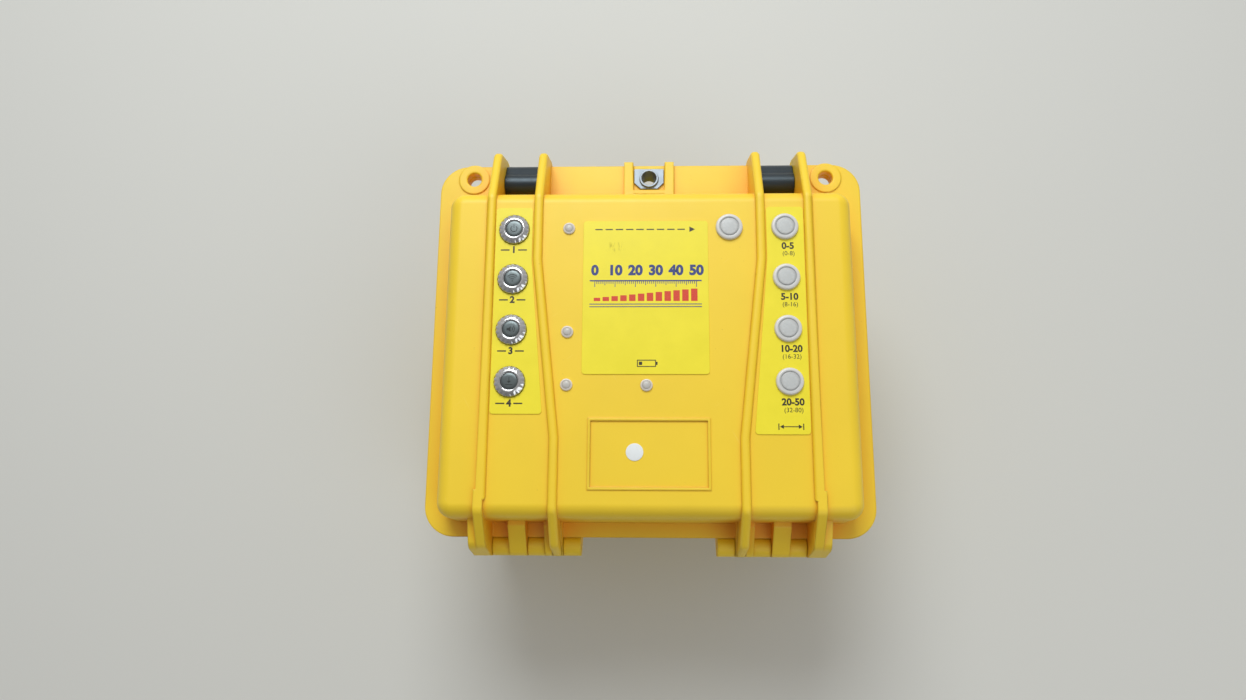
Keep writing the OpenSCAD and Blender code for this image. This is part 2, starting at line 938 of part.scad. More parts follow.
module latch_arm_right() {
    color("#222222")
        difference() {
            union() {
                rod_along_x(latch_mid, latch_w, y_latch, z_latch, barrel_r);
                plate_x(
                    latch_mid,
                    latch_w,
                    rounded(
                        [
                            [y_latch + over, z_latch - over],
                            [y_latch + over, z_latch + arm_top],
                            [y_lever + arm_front, z_latch - over],
                            [y_lever + arm_front, z_lever + lever_knuckle_r + gap + over],
                            [y_lip + arm_inner_gap, z_lever + lever_knuckle_r + gap + over],
                            [y_lip + arm_inner_gap, z_latch - barrel_r]
                        ],
                        [0, 0, shoulder_r, 0, 0, 0]
                    )
                );
                plate_x(
                    latch_mid,
                    latch_w - 2 * cheek_w - 2 * gap,
                    rounded(
                        [
                            [y_lip + arm_inner_gap, z_lever + 2 * lever_knuckle_r],
                            [y_lip + arm_inner_gap, z_lever - lever_knuckle_r],
                            [y_lever + lever_knuckle_r, z_lever - lever_knuckle_r],
                            [y_lever + lever_knuckle_r, z_lever + lever_knuckle_r],
                            [y_lever + arm_front, z_lever + 2 * lever_knuckle_r]
                        ],
                        [0, lever_knuckle_r, lever_knuckle_r, 0, 0]
                    )
                );
            }
            rod_along_x(latch_mid, latch_w + over, y_latch, z_latch, latch_pin_r + fit);
            rod_along_x(latch_mid, latch_w + over, y_lever, z_lever, lever_pin_r + fit);
        }
}

module latch_arm_left() {
    mirror([1, 0, 0])
        latch_arm_right();
}

// One cheek of the lever: its knuckle and the hook under the lip
module lever_cheek(x) {
    plate_x(
        x,
        cheek_w,
        rounded(
            concat(
                [
                    [y_lever + lever_knuckle_r, z_lever + lever_knuckle_r],
                    [y_lever + lever_knuckle_r, z_lever - lever_knuckle_r - hook_t / 2],
                    [y_lever - hook_in, z_lever - hook_t / 2]
                ],
                [
                    for (i = [0:2])
                        let (
                            y = y_lever - hook_in + i * hook_in / 4,
                            off = y - y_latch
                        )
                        [y, z_latch - sqrt(hook_r * hook_r - off * off)]
                ],
                [[y_lever - hook_in / 2, z_lever + lever_knuckle_r]]
            ),
            [lever_knuckle_r, hook_t / 3, hook_t / 3, 0, 0, 0, 0]
        )
    );
}

module latch_lever_right() {
    z_top = z_lever - lever_knuckle_r - gap;
    z_tip = z_lever - lever_len;
    z_bend = z_lever - lever_len * tip_bend_share;
    color("#222222")
        difference() {
            union() {
                for (side = [-1, 1])
                    lever_cheek(latch_mid + side * (latch_w - cheek_w) / 2);
                plate_x(
                    latch_mid,
                    latch_w,
                    rounded(
                        [
                            [y_lever - lever_t / 3, z_top],
                            [y_lever + lever_knuckle_r, z_top],
                            [y_lever + lever_knuckle_r, z_bend + lever_t / 3],
                            [reach_y, z_tip + lever_t / 2],
                            [reach_y, z_tip],
                            [reach_y - lever_t / 2, z_tip],
                            [y_lever + lever_knuckle_r - lever_t, z_bend - lever_t / 2]
                        ],
                        [0, 0, lever_t, 0, 0, lever_t / 4, lever_t]
                    )
                );
            }
            rod_along_x(latch_mid, latch_w + over, y_lever, z_lever, lever_pin_r + fit);
        }
}

module latch_lever_left() {
    mirror([1, 0, 0])
        latch_lever_right();
}

module latch_pins() {
    color("silver")
        both_sides()
            rod_along_x(latch_mid, latch_x1 - latch_x0 + rib_w - 2 * gap, y_latch, z_latch, latch_pin_r);
}

module lever_pin_right() {
    color("silver")
        rod_along_x(latch_mid, latch_w, y_lever, z_lever, lever_pin_r);
}

module lever_pin_left() {
    mirror([1, 0, 0])
        lever_pin_right();
}

// Handle folded down against the front wall
module carry_handle() {
    grip_z = z_handle - handle_reach + grip_r;
    color("#262626")
        difference() {
            union() {
                both_sides() {
                    rod_along_x(handle_x, handle_arm_w, y_handle, z_handle, ear_r);
                    plate_x(
                        handle_x,
                        handle_arm_w,
                        [
                            [y_handle - handle_t / 2, grip_z],
                            [y_handle + handle_t / 2, grip_z],
                            [y_handle + handle_t / 2, z_handle],
                            [y_handle - handle_t / 2, z_handle]
                        ]
                    );
                    translate([handle_w / 2 - grip_r, y_handle, grip_z])
                        sphere(r = grip_r, $fn = round_fn);
                }
                rod_along_x(0, handle_w - 2 * grip_r, y_handle, grip_z, grip_r);
            }
            rod_along_x(0, handle_w + over, y_handle, z_handle, handle_pin_r + fit);
        }
}

module handle_pins() {
    color("silver")
        both_sides()
            rod_along_x(handle_x, handle_arm_w + 2 * (gap + ear_t), y_handle, z_handle, handle_pin_r);
}

// Metal plate with a collar, seated on one side of the flange
module hasp_plate(way) {
    z0 = z_part + way * flange_t;
    z1 = z0 + way * hasp_t;
    z2 = z1 + way * hasp_collar_h;
    color("silver")
        difference() {
            union() {
                translate([0, 0, min(z0, z1)])
                    linear_extrude(hasp_t)
                        polygon([
                            [-hasp_w / 2, y_hasp + hasp_d / 2],
                            [hasp_w / 2, y_hasp + hasp_d / 2],
                            [hasp_w / 2, y_hasp - hasp_d / 2 + hasp_chamfer],
                            [hasp_w / 2 - hasp_chamfer, y_hasp - hasp_d / 2],
                            [hasp_chamfer - hasp_w / 2, y_hasp - hasp_d / 2],
                            [-hasp_w / 2, y_hasp - hasp_d / 2 + hasp_chamfer]
                        ]);
                translate([0, y_hasp, min(z_part, z2)])
                    cylinder(
                        h = flange_t + hasp_t + hasp_collar_h,
                        r = hasp_r + hasp_wall - fit,
                        $fn = round_fn
                    );
            }
            translate([0, y_hasp, min(z_part, z2) - over])
                cylinder(h = flange_t + hasp_t + hasp_collar_h + 2 * over, r = hasp_r, $fn = round_fn);
        }
}

module lid_hasp_plate() {
    hasp_plate(1);
}

module base_hasp_plate() {
    hasp_plate(-1);
}

// Pressure valve on the front wall, under the handle
valve_z = 34;
valve_r = 8;
valve_t = 3;
valve_shank_r = 4;
valve_nut_r = 7;
valve_nut_t = 3;
valve_cap_share = 0.6;

module valve_place() {
    drop = z_part - over - z_floor - edge_r + edge_r * tan(180 / ball_fn);
    lean = atan2(base_draft, drop);
    wall_y = y_front - base_draft * (z_part - over - valve_z) / drop;
    translate([0, wall_y, valve_z])
        rotate([-90 - lean, 0, 0])
            children();
}

module pressure_valve() {
    color("#1c1c1c")
        valve_place() {
            cylinder(h = valve_t, r = valve_r, $fn = round_fn);
            translate([0, 0, valve_t - over])
                cylinder(h = over + over, r = valve_r * valve_cap_share, $fn = round_fn);
            translate([0, 0, -wall - valve_nut_t])
                cylinder(h = wall + valve_nut_t, r = valve_shank_r, $fn = round_fn);
            translate([0, 0, -wall - fit - valve_nut_t])
                cylinder(h = valve_nut_t, r = valve_nut_r, $fn = 6);
        }
}

// One bezel, turned: rim, land, dish and the ring round the cap
module bezel() {
    color("#c8c8cc")
        translate([0, 0, z_bezel])
            rotate_extrude($fn = round_fn)
                polygon([
                    [cap_r + fit, -button_len],
                    [thread_r, -button_len],
                    [thread_r, 0],
                    [bezel_r, 0],
                    [bezel_r, bezel_edge_h],
                    [bezel_r - bezel_bevel, bezel_h],
                    [bezel_r - bezel_bevel - bezel_land, bezel_h],
                    [cap_r + ring_w + fit, bezel_dish_h],
                    [cap_r + ring_w + fit, ring_h],
                    [cap_r + fit, ring_h]
                ]);
}

module cap() {
    color("#b4b4b8")
        translate([0, 0, z_bezel])
            rotate_extrude($fn = round_fn)
                polygon([
                    [0, -cap_skirt],
                    [cap_r, -cap_skirt],
                    [cap_r, cap_h - cap_bevel],
                    [cap_r - cap_bevel, cap_h],
                    [0, cap_h]
                ]);
}

module button_seals() {
    color("black")
        for (i = [0:button_count - 1])
            at_button(i)
                translate([0, 0, z_label])
                    difference() {
                        cylinder(h = seal_t, r = bezel_r + hole_gap, $fn = round_fn);
                        translate([0, 0, -over])
                            cylinder(h = seal_t + 2 * over, r = thread_r + fit, $fn = round_fn);
                    }
}

// Six sided nut against the inner face of the lid
module panel_nut(across_r, bore_r) {
    translate([0, 0, z_inner - nut_t])
        difference() {
            cylinder(h = nut_t, r = across_r, $fn = 6);
            translate([0, 0, -over])
                cylinder(h = nut_t + 2 * over, r = bore_r + fit, $fn = round_fn);
        }
}

module button_nuts() {
    color("silver")
        for (i = [0:button_count - 1])
            at_button(i)
                panel_nut(nut_r, thread_r);
}

module button_switches() {
    plug_h = button_len - cap_skirt - cap_travel - gap;
    color("#1a1a1a")
        for (i = [0:button_count - 1])
            at_button(i)
                translate([0, 0, z_bezel - button_len]) {
                    cylinder(h = plug_h, r = cap_r, $fn = round_fn);
                    translate([0, 0, -switch_h])
                        cylinder(h = switch_h, r = switch_r, $fn = round_fn);
                    for (side = [-1, 1])
                        translate([side * switch_r / 2 - tab_w / 2, -tab_t / 2, -switch_h - tab_h])
                            cube([tab_w, tab_t, tab_h + over]);
                }
}

// Frosted lens, turned, with a hollow shank for its lamp
module lens(z0) {
    color([0.93, 0.94, 0.93, 0.9])
        translate([0, 0, z0])
            rotate_extrude($fn = round_fn)
                polygon([
                    [lens_bore_r, -lens_len],
                    [lens_shank_r, -lens_len],
                    [lens_shank_r, 0],
                    [lens_r, 0],
                    [lens_r, lens_edge_h],
                    [lens_r - lens_bevel, lens_h - lens_groove_w],
                    [lens_disc_r + lens_groove_w, lens_h - lens_groove_w],
                    [lens_disc_r + lens_groove_w, lens_groove_h],
                    [lens_disc_r, lens_groove_h],
                    [lens_disc_r, lens_h - lens_groove_w],
                    [lens_disc_r - lens_bevel, lens_h],
                    [0, lens_h],
                    [0, -wall],
                    [lens_bore_r, -wall]
                ]);
}

module small_lens() {
    color([0.95, 0.95, 0.93, 0.8])
        translate([0, 0, z_face])
            rotate_extrude($fn = round_fn)
                polygon([
                    [small_bore_r, -small_len],
                    [small_shank_r, -small_len],
                    [small_shank_r, 0],
                    [small_lens_r, 0],
                    [small_lens_r, small_edge_h],
                    [small_lens_r - small_bevel, small_lens_h],
                    [0, small_lens_h],
                    [0, -wall / 2],
                    [small_bore_r, -wall / 2]
                ]);
}

module status_lens(i) {
    translate(small_spots[i])
        small_lens();
}

module lens_nuts() {
    color("silver") {
        for (i = [0:light_count - 1])
            at_light(i)
                panel_nut(lens_nut_r, lens_shank_r);
        at_alert()
            panel_nut(lens_nut_r, lens_shank_r);
    }
}

// Lamp pushed into the shank of a lens, with its two legs
module lamp(z0, body_r, foot_r, height) {
    translate([0, 0, z0]) {
        cylinder(h = height, r = body_r, $fn = ball_fn);
        cylinder(h = led_foot_h, r = foot_r, $fn = ball_fn);
        for (side = [-1, 1])
            translate([side * led_leg_x / 2, 0, -led_leg_h])
                cylinder(h = led_leg_h + led_foot_h / 2, r = led_leg_r, $fn = ball_fn);
    }
}

module panel_leds() {
    color("#e8d890") {
        for (i = [0:light_count - 1])
            at_light(i)
                lamp(z_label - lens_len, led_r, led_foot_r, led_h);
        at_alert()
            lamp(z_face - lens_len, led_r, led_foot_r, led_h);
        for (spot = small_spots)
            translate(spot)
                lamp(z_face - small_len, small_led_r, small_bore_r - fit, small_led_h);
    }
}

// Side label whose inner edge keeps clear of the slanting rib
module side_label(low) {
    low_x = x_low + rib_slant * (low - slant_back) / (slant_front - slant_back) + label_low_in;
    difference() {
        translate([0, 0, z_face])
            linear_extrude(label_t)
                polygon(rounded(
                    [
                        [x_outer - rib_w / 2 - label_gap, label_top],
                        [x_inner + label_in, label_top],
                        [x_inner + label_in, slant_front],
                        [low_x, low],
                        [x_outer - rib_w / 2 - label_gap, low]
                    ],
                    [label_r, label_r, 0, label_r, label_r]
                ));
        children();
    }
}
label_gap = 0.4;

module label_left() {
    color("#efe23a")
        difference() {
            mirror([1, 0, 0])
                side_label(button_label_low);
            panel_holes(z_face - over, wall, 0);
        }
}

module label_right() {
    color("#efe23a")
        difference() {
            side_label(range_label_low);
            panel_holes(z_face - over, wall, 0);
        }
}

module label_centre() {
    color("#efe23a")
        translate([centre_label_x, 0, z_face])
            linear_extrude(label_t)
                round_rect(
                    -centre_label_w / 2,
                    centre_label_w / 2,
                    centre_label_low,
                    centre_label_top,
                    label_r
                );
}

module vent_disc() {
    color("white")
        translate([vent_x, vent_y, z_face - field_sink])
            cylinder(h = vent_t, r = vent_r, $fn = round_fn);
}

// Cover that closes the lid behind the panel, with the gland for the lead
module lid_cover() {
    color("#303234")
        difference() {
            union() {
                translate([0, 0, z_cover])
                    linear_extrude(cover_t)
                        wall_rect(-wall - cover_gap);
                translate([gland_x, y_back + gland_in + wall, z_cover - gland_h])
                    cylinder(h = gland_h + over, r = gland_r, $fn = round_fn);
            }
            for (spot = boss_spots)
                translate([spot[0], spot[1], z_cover - over])
                    cylinder(h = cover_t + 2 * over, r = screw_r + gap, $fn = round_fn);
        }
}

// Pan head screw that points up from its seat
module screw_up(length) {
    translate([0, 0, -screw_head_h])
        cylinder(h = screw_head_h, r = screw_head_r, $fn = ball_fn);
    cylinder(h = length, r = screw_r, $fn = ball_fn);
}

module cover_screws() {
    color("silver")
        for (spot = boss_spots)
            translate([spot[0], spot[1], z_cover])
                screw_up(screw_len - gap);
}

module main_board() {
    color("#1f6b3a")
        difference() {
            translate([0, board_y, z_board])
                linear_extrude(board_t)
                    round_rect(-board_w / 2, board_w / 2, -board_d / 2, board_d / 2, board_r);
            for (spot = standoff_spots)
                translate([spot[0], spot[1], z_board - over])
                    cylinder(h = board_t + 2 * over, r = stud_r + fit, $fn = round_fn);
        }
}

module board_standoffs() {
    color("#b89a4a")
        for (spot = standoff_spots)
            translate([spot[0], spot[1], z_board]) {
                translate([0, 0, board_t])
                    cylinder(h = standoff_len, r = standoff_r, $fn = round_fn);
                translate([0, 0, -stud_nut_h])
                    cylinder(h = board_t + stud_nut_h + over, r = stud_r, $fn = round_fn);
                translate([0, 0, -stud_nut_h])
                    cylinder(h = stud_nut_h, r = stud_nut_r, $fn = 6);
            }
}

// Parts soldered under the board: places and sizes as shares of the board
chip_shares = [
    [-0.22, 0.18, 0.12, 0.12, 0.12], [0.2, 0.22, 0.2, 0.16, 0.2], [0.3, -0.4, 0.16, 0.1, 0.5],
    [-0.3, -0.3, 0.1, 0.08, 0.3], [0, -0.06, 0.06, 0.16, 0.2]
];
cap_shares = [[-0.02, 0.36], [0.12, 0.38], [-0.38, 0.02], [0.02, -0.38]];
chip_h = 10;
capacitor_r = 4;
capacitor_h = 11;

module board_chips() {
    color("#202022")
        for (c = chip_shares)
            translate([
                (c[0] - c[2] / 2) * board_w,
                board_y + (c[1] - c[3] / 2) * board_d,
                z_board - c[4] * chip_h
            ])
                cube([c[2] * board_w, c[3] * board_d, c[4] * chip_h]);
}

module board_capacitors() {
    color("#2c3f7a")
        for (c = cap_shares)
            translate([c[0] * board_w, board_y + c[1] * board_d, z_board - capacitor_h])
                cylinder(h = capacitor_h, r = capacitor_r, $fn = ball_fn);
}

// Horn on the board: a flared body, turned
horn_x_share = 0.245;
horn_y_share = -0.087;
horn_r_share = 0.114;
horn_x = board_w * horn_x_share;
horn_y = board_d * horn_y_share;
horn_r = board_w * horn_r_share;
horn_throat_r = horn_r / 2;
horn_h = 12;
horn_wall = 1.5;

module alarm_horn() {
    color("#17181a")
        translate([horn_x, board_y + horn_y, z_board])
            rotate_extrude($fn = round_fn)
                polygon([
                    [0, 0],
                    [horn_r, 0],
                    [horn_r, -horn_h],
                    [horn_r - horn_wall, -horn_h],
                    [horn_throat_r, -horn_h / 2],
                    [0, -horn_h / 2]
                ]);
}

// Sealed battery with its lid line and terminals
module battery() {
    z0 = z_inside + tray_t;
    color("#2a2c30")
        translate([battery_x, battery_y, z0]) {
            linear_extrude(battery_h - lid_line_h)
                round_rect(-battery_w / 2, battery_w / 2, -battery_d / 2, battery_d / 2, battery_r);
            translate([0, 0, battery_h - lid_line_h - over])
                linear_extrude(lid_line_h + over)
                    round_rect(
                        tab_t - battery_w / 2, battery_w / 2 - tab_t,
                        tab_t - battery_d / 2, battery_d / 2 - tab_t, battery_r
                    );
            for (side = [-1, 1])
                translate([
                    side * (battery_w / 2 - terminal_w) - terminal_w / 2,
                    terminal_d / 2 - battery_d / 2,
                    battery_h - over
                ])
                    cube([terminal_w, terminal_d, terminal_h + over]);
        }
}

// Tray with upturned lips round the battery
module battery_tray() {
    lip = tray_t + gap;
    color("#3a3d40")
        translate([battery_x, battery_y, z_inside])
            difference() {
                linear_extrude(tray_h)
                    round_rect(
                        -battery_w / 2 - lip, battery_w / 2 + lip,
                        -battery_d / 2 - lip, battery_d / 2 + lip, battery_r + lip
                    );
                translate([0, 0, tray_t])
                    linear_extrude(tray_h)
                        round_rect(
                            -battery_w / 2 - gap, battery_w / 2 + gap,
                            -battery_d / 2 - gap, battery_d / 2 + gap, battery_r + gap
                        );
            }
}

// Steel strap over the battery, its feet on the floor
module battery_strap() {
    z_top = z_inside + tray_t + battery_h + fit;
    color("#8d9096")
        difference() {
            translate([battery_x, battery_y + strap_w / 2, 0])
                rotate([90, 0, 0])
                    linear_extrude(strap_w)
                        polygon([
                            [-strap_in_w / 2, z_inside],
                            [-strap_in_w / 2, z_top],
                            [strap_in_w / 2, z_top],
                            [strap_in_w / 2, z_inside],
                            [strap_in_w / 2 + strap_foot, z_inside],
                            [strap_in_w / 2 + strap_foot, z_inside + strap_t],
                            [strap_in_w / 2 + strap_t, z_inside + strap_t],
                            [strap_in_w / 2 + strap_t, z_top + strap_t],
                            [-strap_in_w / 2 - strap_t, z_top + strap_t],
                            [-strap_in_w / 2 - strap_t, z_inside + strap_t],
                            [-strap_in_w / 2 - strap_foot, z_inside + strap_t],
                            [-strap_in_w / 2 - strap_foot, z_inside]
                        ]);
            for (spot = strap_spots)
                translate([spot[0], spot[1], z_inside - over])
                    cylinder(h = strap_t + 2 * over, r = screw_r + gap, $fn = round_fn);
        }
}

module strap_screws() {
    color("silver")
        for (spot = strap_spots)
            translate([spot[0], spot[1], z_inside + strap_t])
                mirror([0, 0, 1])
                    screw_up(strap_t + strap_screw_len - gap);
}

// Ferrite rod with its winding, held by two clips on the floor
module antenna_rod() {
    color("#3c3c40")
        rod_along_x(rod_x, rod_len, rod_y, z_inside + rod_up, rod_r);
}

module antenna_coil() {
    color("#b5651d")
        difference() {
            union() {
                rod_along_x(rod_x, coil_len, rod_y, z_inside + rod_up, coil_r - over);
                for (side = [-1, 1])
                    rod_along_x(rod_x + side * (coil_len - over) / 2, over, rod_y, z_inside + rod_up, coil_r);
            }
            rod_along_x(rod_x, coil_len + 2 * over, rod_y, z_inside + rod_up, rod_r + fit);
        }
}

module antenna_clips() {
    z_rod = z_inside + rod_up;
    color("#d8d8d0")
        for (side = [-1, 1]) {
            x = rod_x + side * (rod_len / 2 - clip_in);
            difference() {
                union() {
                    rod_along_x(x, clip_w, rod_y, z_rod, clip_r);
                    plate_x(
                        x,
                        clip_w,
                        [
                            [rod_y - clip_foot / 2, z_inside],
                            [rod_y + clip_foot / 2, z_inside],
                            [rod_y + clip_foot / 2, z_inside + clip_foot_h],
                            [rod_y + clip_r - over, z_rod - over],
                            [rod_y - clip_r + over, z_rod - over],
                            [rod_y - clip_foot / 2, z_inside + clip_foot_h]
                        ]
                    );
                }
                rod_along_x(x, clip_w + 2 * over, rod_y, z_rod, rod_r + fit);
            }
        }
}

// Point of a smooth curve between its guides, and its direction there
function curve(p, t) = len(p) == 1 ? p[0] : (1 - t) * curve([for (i = [0:len(p) - 2]) p[i]], t)
    + t * curve([for (i = [1:len(p) - 1]) p[i]], t);
function curve_way(p, t) = toward([0, 0, 0], curve([for (i = [0:len(p) - 2]) p[i + 1] - p[i]], t));

module panel_lead() {
    side = toward([0, 0, 0], cross(lead_end - lead_start, [0, 1, 0]));
    points = [
        for (i = [0:lead_steps])
            let (
                t = i / lead_steps,
                way = curve_way(lead_guides, t),
                u = toward([0, 0, 0], side - way * (side * way)),
                v = cross(way, u)
            )
            for (k = [0:lead_sides - 1])
                let (angle = 360 * k / lead_sides)
                curve(lead_guides, t) + lead_r * (cos(angle) * u + sin(angle) * v)
    ];
    faces = concat(
        [[for (k = [0:lead_sides - 1]) k]],
        [
            for (i = [0:lead_steps - 1], k = [0:lead_sides - 1])
                let (n = (k + 1) % lead_sides, a = i * lead_sides, b = a + lead_sides)
                each [[a + k, b + k, b + n], [a + k, b + n, a + n]]
        ],
        [[for (k = [0:lead_sides - 1]) (lead_steps + 1) * lead_sides - 1 - k]]
    );
    color("#141414")
        polyhedron(points, faces);
}

base_shell();
lid_shell();
lid_gasket();
hinge_pin_left();
hinge_pin_right();
latch_arm_left();
latch_arm_right();
latch_lever_left();
latch_lever_right();
latch_pins();
lever_pin_left();
lever_pin_right();
carry_handle();
handle_pins();
lid_hasp_plate();
base_hasp_plate();
pressure_valve();
at_button(0) bezel();  // button_bezel_1
at_button(1) bezel();  // button_bezel_2
at_button(2) bezel();  // button_bezel_3
at_button(3) bezel();  // button_bezel_4
at_button(0) cap();  // button_cap_1
at_button(1) cap();  // button_cap_2
at_button(2) cap();  // button_cap_3
at_button(3) cap();  // button_cap_4
button_seals();
button_nuts();
button_switches();
at_light(0) lens(z_label);  // range_lens_1
at_light(1) lens(z_label);  // range_lens_2
at_light(2) lens(z_label);  // range_lens_3
at_light(3) lens(z_label);  // range_lens_4
at_alert() lens(z_face);  // alert_lens
status_lens(0);  // status_lens_1
status_lens(1);  // status_lens_2
status_lens(2);  // status_lens_3
status_lens(3);  // status_lens_4
lens_nuts();
panel_leds();
label_left();
label_right();
label_centre();
vent_disc();
lid_cover();
cover_screws();
main_board();
board_standoffs();
board_chips();
board_capacitors();
alarm_horn();
battery();
battery_tray();
battery_strap();
strap_screws();
antenna_rod();
antenna_coil();
antenna_clips();
panel_lead();
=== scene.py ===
"""Looks of a portable lightning detector: moulded case, panel, buttons, lamps, latches and inside."""

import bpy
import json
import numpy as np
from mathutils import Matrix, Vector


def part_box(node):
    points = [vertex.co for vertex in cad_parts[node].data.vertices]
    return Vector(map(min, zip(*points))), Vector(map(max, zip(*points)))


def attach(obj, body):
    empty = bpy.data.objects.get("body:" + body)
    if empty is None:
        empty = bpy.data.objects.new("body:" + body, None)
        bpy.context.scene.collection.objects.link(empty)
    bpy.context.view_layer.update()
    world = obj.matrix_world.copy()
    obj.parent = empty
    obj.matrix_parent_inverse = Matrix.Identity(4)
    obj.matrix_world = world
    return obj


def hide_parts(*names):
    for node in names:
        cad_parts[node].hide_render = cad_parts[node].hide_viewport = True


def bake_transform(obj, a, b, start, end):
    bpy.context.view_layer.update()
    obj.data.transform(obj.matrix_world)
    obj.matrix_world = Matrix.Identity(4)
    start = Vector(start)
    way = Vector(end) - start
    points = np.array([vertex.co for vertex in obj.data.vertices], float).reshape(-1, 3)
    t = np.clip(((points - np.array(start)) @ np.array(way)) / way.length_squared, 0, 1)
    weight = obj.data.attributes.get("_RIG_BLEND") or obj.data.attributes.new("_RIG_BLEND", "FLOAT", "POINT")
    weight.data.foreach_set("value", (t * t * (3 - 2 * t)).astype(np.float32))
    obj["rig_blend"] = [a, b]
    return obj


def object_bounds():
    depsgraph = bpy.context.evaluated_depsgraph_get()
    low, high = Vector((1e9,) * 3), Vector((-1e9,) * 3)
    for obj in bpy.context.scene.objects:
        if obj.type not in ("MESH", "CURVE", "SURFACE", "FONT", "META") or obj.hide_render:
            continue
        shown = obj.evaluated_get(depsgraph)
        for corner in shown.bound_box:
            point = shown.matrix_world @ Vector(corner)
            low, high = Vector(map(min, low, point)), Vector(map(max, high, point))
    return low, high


bl_info = {
    "name": "Portable lightning detector",
    "version": (1, 0, 0),
    "blender": (4, 5, 0),
    "location": "View3D > Sidebar > Detector",
    "description": "Dresses the packed frame of a portable lightning detector, piece by piece",
    "category": "Object",
}

import json
from math import atan2, cos, radians, sin, tau

import bmesh
import bpy
from bpy.props import FloatProperty, FloatVectorProperty, PointerProperty
from mathutils import Matrix, Vector

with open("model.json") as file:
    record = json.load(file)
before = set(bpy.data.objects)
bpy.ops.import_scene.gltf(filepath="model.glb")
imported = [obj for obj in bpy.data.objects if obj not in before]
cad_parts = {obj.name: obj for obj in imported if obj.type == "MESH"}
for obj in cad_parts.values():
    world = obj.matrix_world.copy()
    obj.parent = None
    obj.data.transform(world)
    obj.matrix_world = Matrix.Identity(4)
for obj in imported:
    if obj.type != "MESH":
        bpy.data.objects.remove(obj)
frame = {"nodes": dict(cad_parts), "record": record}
cad_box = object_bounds()

MM = 0.001
SIDES = ("left", "right")

# Sizes of the CAD that no node's box gives
RIB = 5.4 * MM  # thickness of ribs and fins
RIB_SHIFT = 11.9 * MM  # how far the inner rib slants towards the middle
RIB_LOW = 175 * MM  # height just under the crest of the slanted rib
LATCH_GAP = 0.3 * MM  # play between a latch arm and its fins
LOCK_HOLE = (21.6 * MM, 9 * MM)  # from the side and the front of the flange
LOCK_HOLE_R = 4.5 * MM
LOCK_BOSS_R = 10 * MM  # radius of the ring round each lock hole
PLATE_IN = 2.75 * MM  # how far the lock plate lies behind the front of the flange
FRAME = 6 * MM  # width of the uprights beside the lock plate
CORNER = (18.5 * MM, 19 * MM)  # what the flange's corners take up, from its side and its front
ARM_REACH = 4.5 * MM  # how far the hinge arms reach past the pins
NEAR = 0.05 * MM  # closer than this counts as on the spot


def paint(red, green, blue):
    """A colour written as it looks on a screen, 0 to 255, turned into light."""
    return tuple(
        c / 12.92 if c <= 0.04045 else ((c + 0.055) / 1.055) ** 2.4
        for c in (red / 255, green / 255, blue / 255)
    )


def shade(colour, times):
    """The same colour, lighter or darker."""
    return tuple(min(1.0, c * times) for c in colour)


# Sizes and colours that a user would change


class CaseLook(bpy.types.PropertyGroup):
    colour: FloatVectorProperty(
        name="Plastic", description="Colour of the moulded case", subtype="COLOR", min=0, max=1,
        default=paint(239, 204, 42),
    )
    # Painted shade: the deeper golden colour painted into the case's corners, where little light reaches
    deep: FloatVectorProperty(
        name="Plastic in corners", description="Deeper colour of the moulded case in its corners",
        subtype="COLOR", min=0, max=1, default=paint(236, 162, 6),
    )
    edge: FloatProperty(
        name="Edge radius", description="How far the case's plain edges are rounded", unit="LENGTH",
        default=0.9 * MM, min=0.1 * MM, max=1.2 * MM,
    )
    crest: FloatProperty(
        name="Rib radius", description="How far the crests of ribs and fins are rounded", unit="LENGTH",
        default=2.1 * MM, min=0.2 * MM, max=2.2 * MM,
    )
    grain: FloatProperty(
        name="Grain depth", description="Depth of the fine texture of the mould", unit="LENGTH",
        default=0.025 * MM, min=0, max=0.2 * MM,
    )


class FittingLook(bpy.types.PropertyGroup):
    black: FloatVectorProperty(
        name="Nylon", description="Colour of the latches and the handle", subtype="COLOR", min=0, max=1,
        default=paint(32, 38, 44),
    )
    steel: FloatVectorProperty(
        name="Steel", description="Colour of the pins and lock plates", subtype="COLOR", min=0, max=1,
        default=paint(150, 160, 170),
    )
    edge: FloatProperty(
        name="Fitting edges", description="How far the edges of latches and handle are rounded",
        unit="LENGTH", default=0.6 * MM, min=0.05 * MM, max=1.5 * MM,
    )


class PanelLook(bpy.types.PropertyGroup):
    film: FloatVectorProperty(
        name="Film", description="Colour of the printed labels", subtype="COLOR", min=0, max=1,
        default=paint(236, 221, 38),
    )
    dark_ink: FloatVectorProperty(
        name="Dark ink", description="Colour of the small numbers", subtype="COLOR", min=0, max=1,
        default=paint(44, 40, 26),
    )
    blue_ink: FloatVectorProperty(
        name="Blue ink", description="Colour of the scale", subtype="COLOR", min=0, max=1,
        default=paint(38, 54, 120),
    )
    red_ink: FloatVectorProperty(
        name="Red ink", description="Colour of the bars under the scale", subtype="COLOR", min=0, max=1,
        default=paint(204, 58, 30),
    )
    digit: FloatProperty(
        name="Number height", description="Height of the numbers beside the buttons and lamps",
        unit="LENGTH", default=4 * MM, min=1 * MM, max=8 * MM,
    )
    notches: FloatProperty(
        name="Notch depth", description="Depth of the notches round each button's rim", unit="LENGTH",
        default=0.4 * MM, min=0, max=0.7 * MM,
    )
    lens: FloatVectorProperty(
        name="Lens", description="Colour of the frosted lamp lenses", subtype="COLOR", min=0, max=1,
        default=paint(208, 207, 205),
    )


class StageLook(bpy.types.PropertyGroup):
    floor: FloatVectorProperty(
        name="Floor", description="Colour of the floor", subtype="COLOR", min=0, max=1,
        default=paint(208, 209, 206),
    )
    key: FloatProperty(
        name="Key light", description="Power of the main lamp in watts", default=15.5, min=0, max=200,
    )
    sky: FloatProperty(
        name="Sky", description="Strength of the light from all round", default=0.44, min=0, max=2,
    )


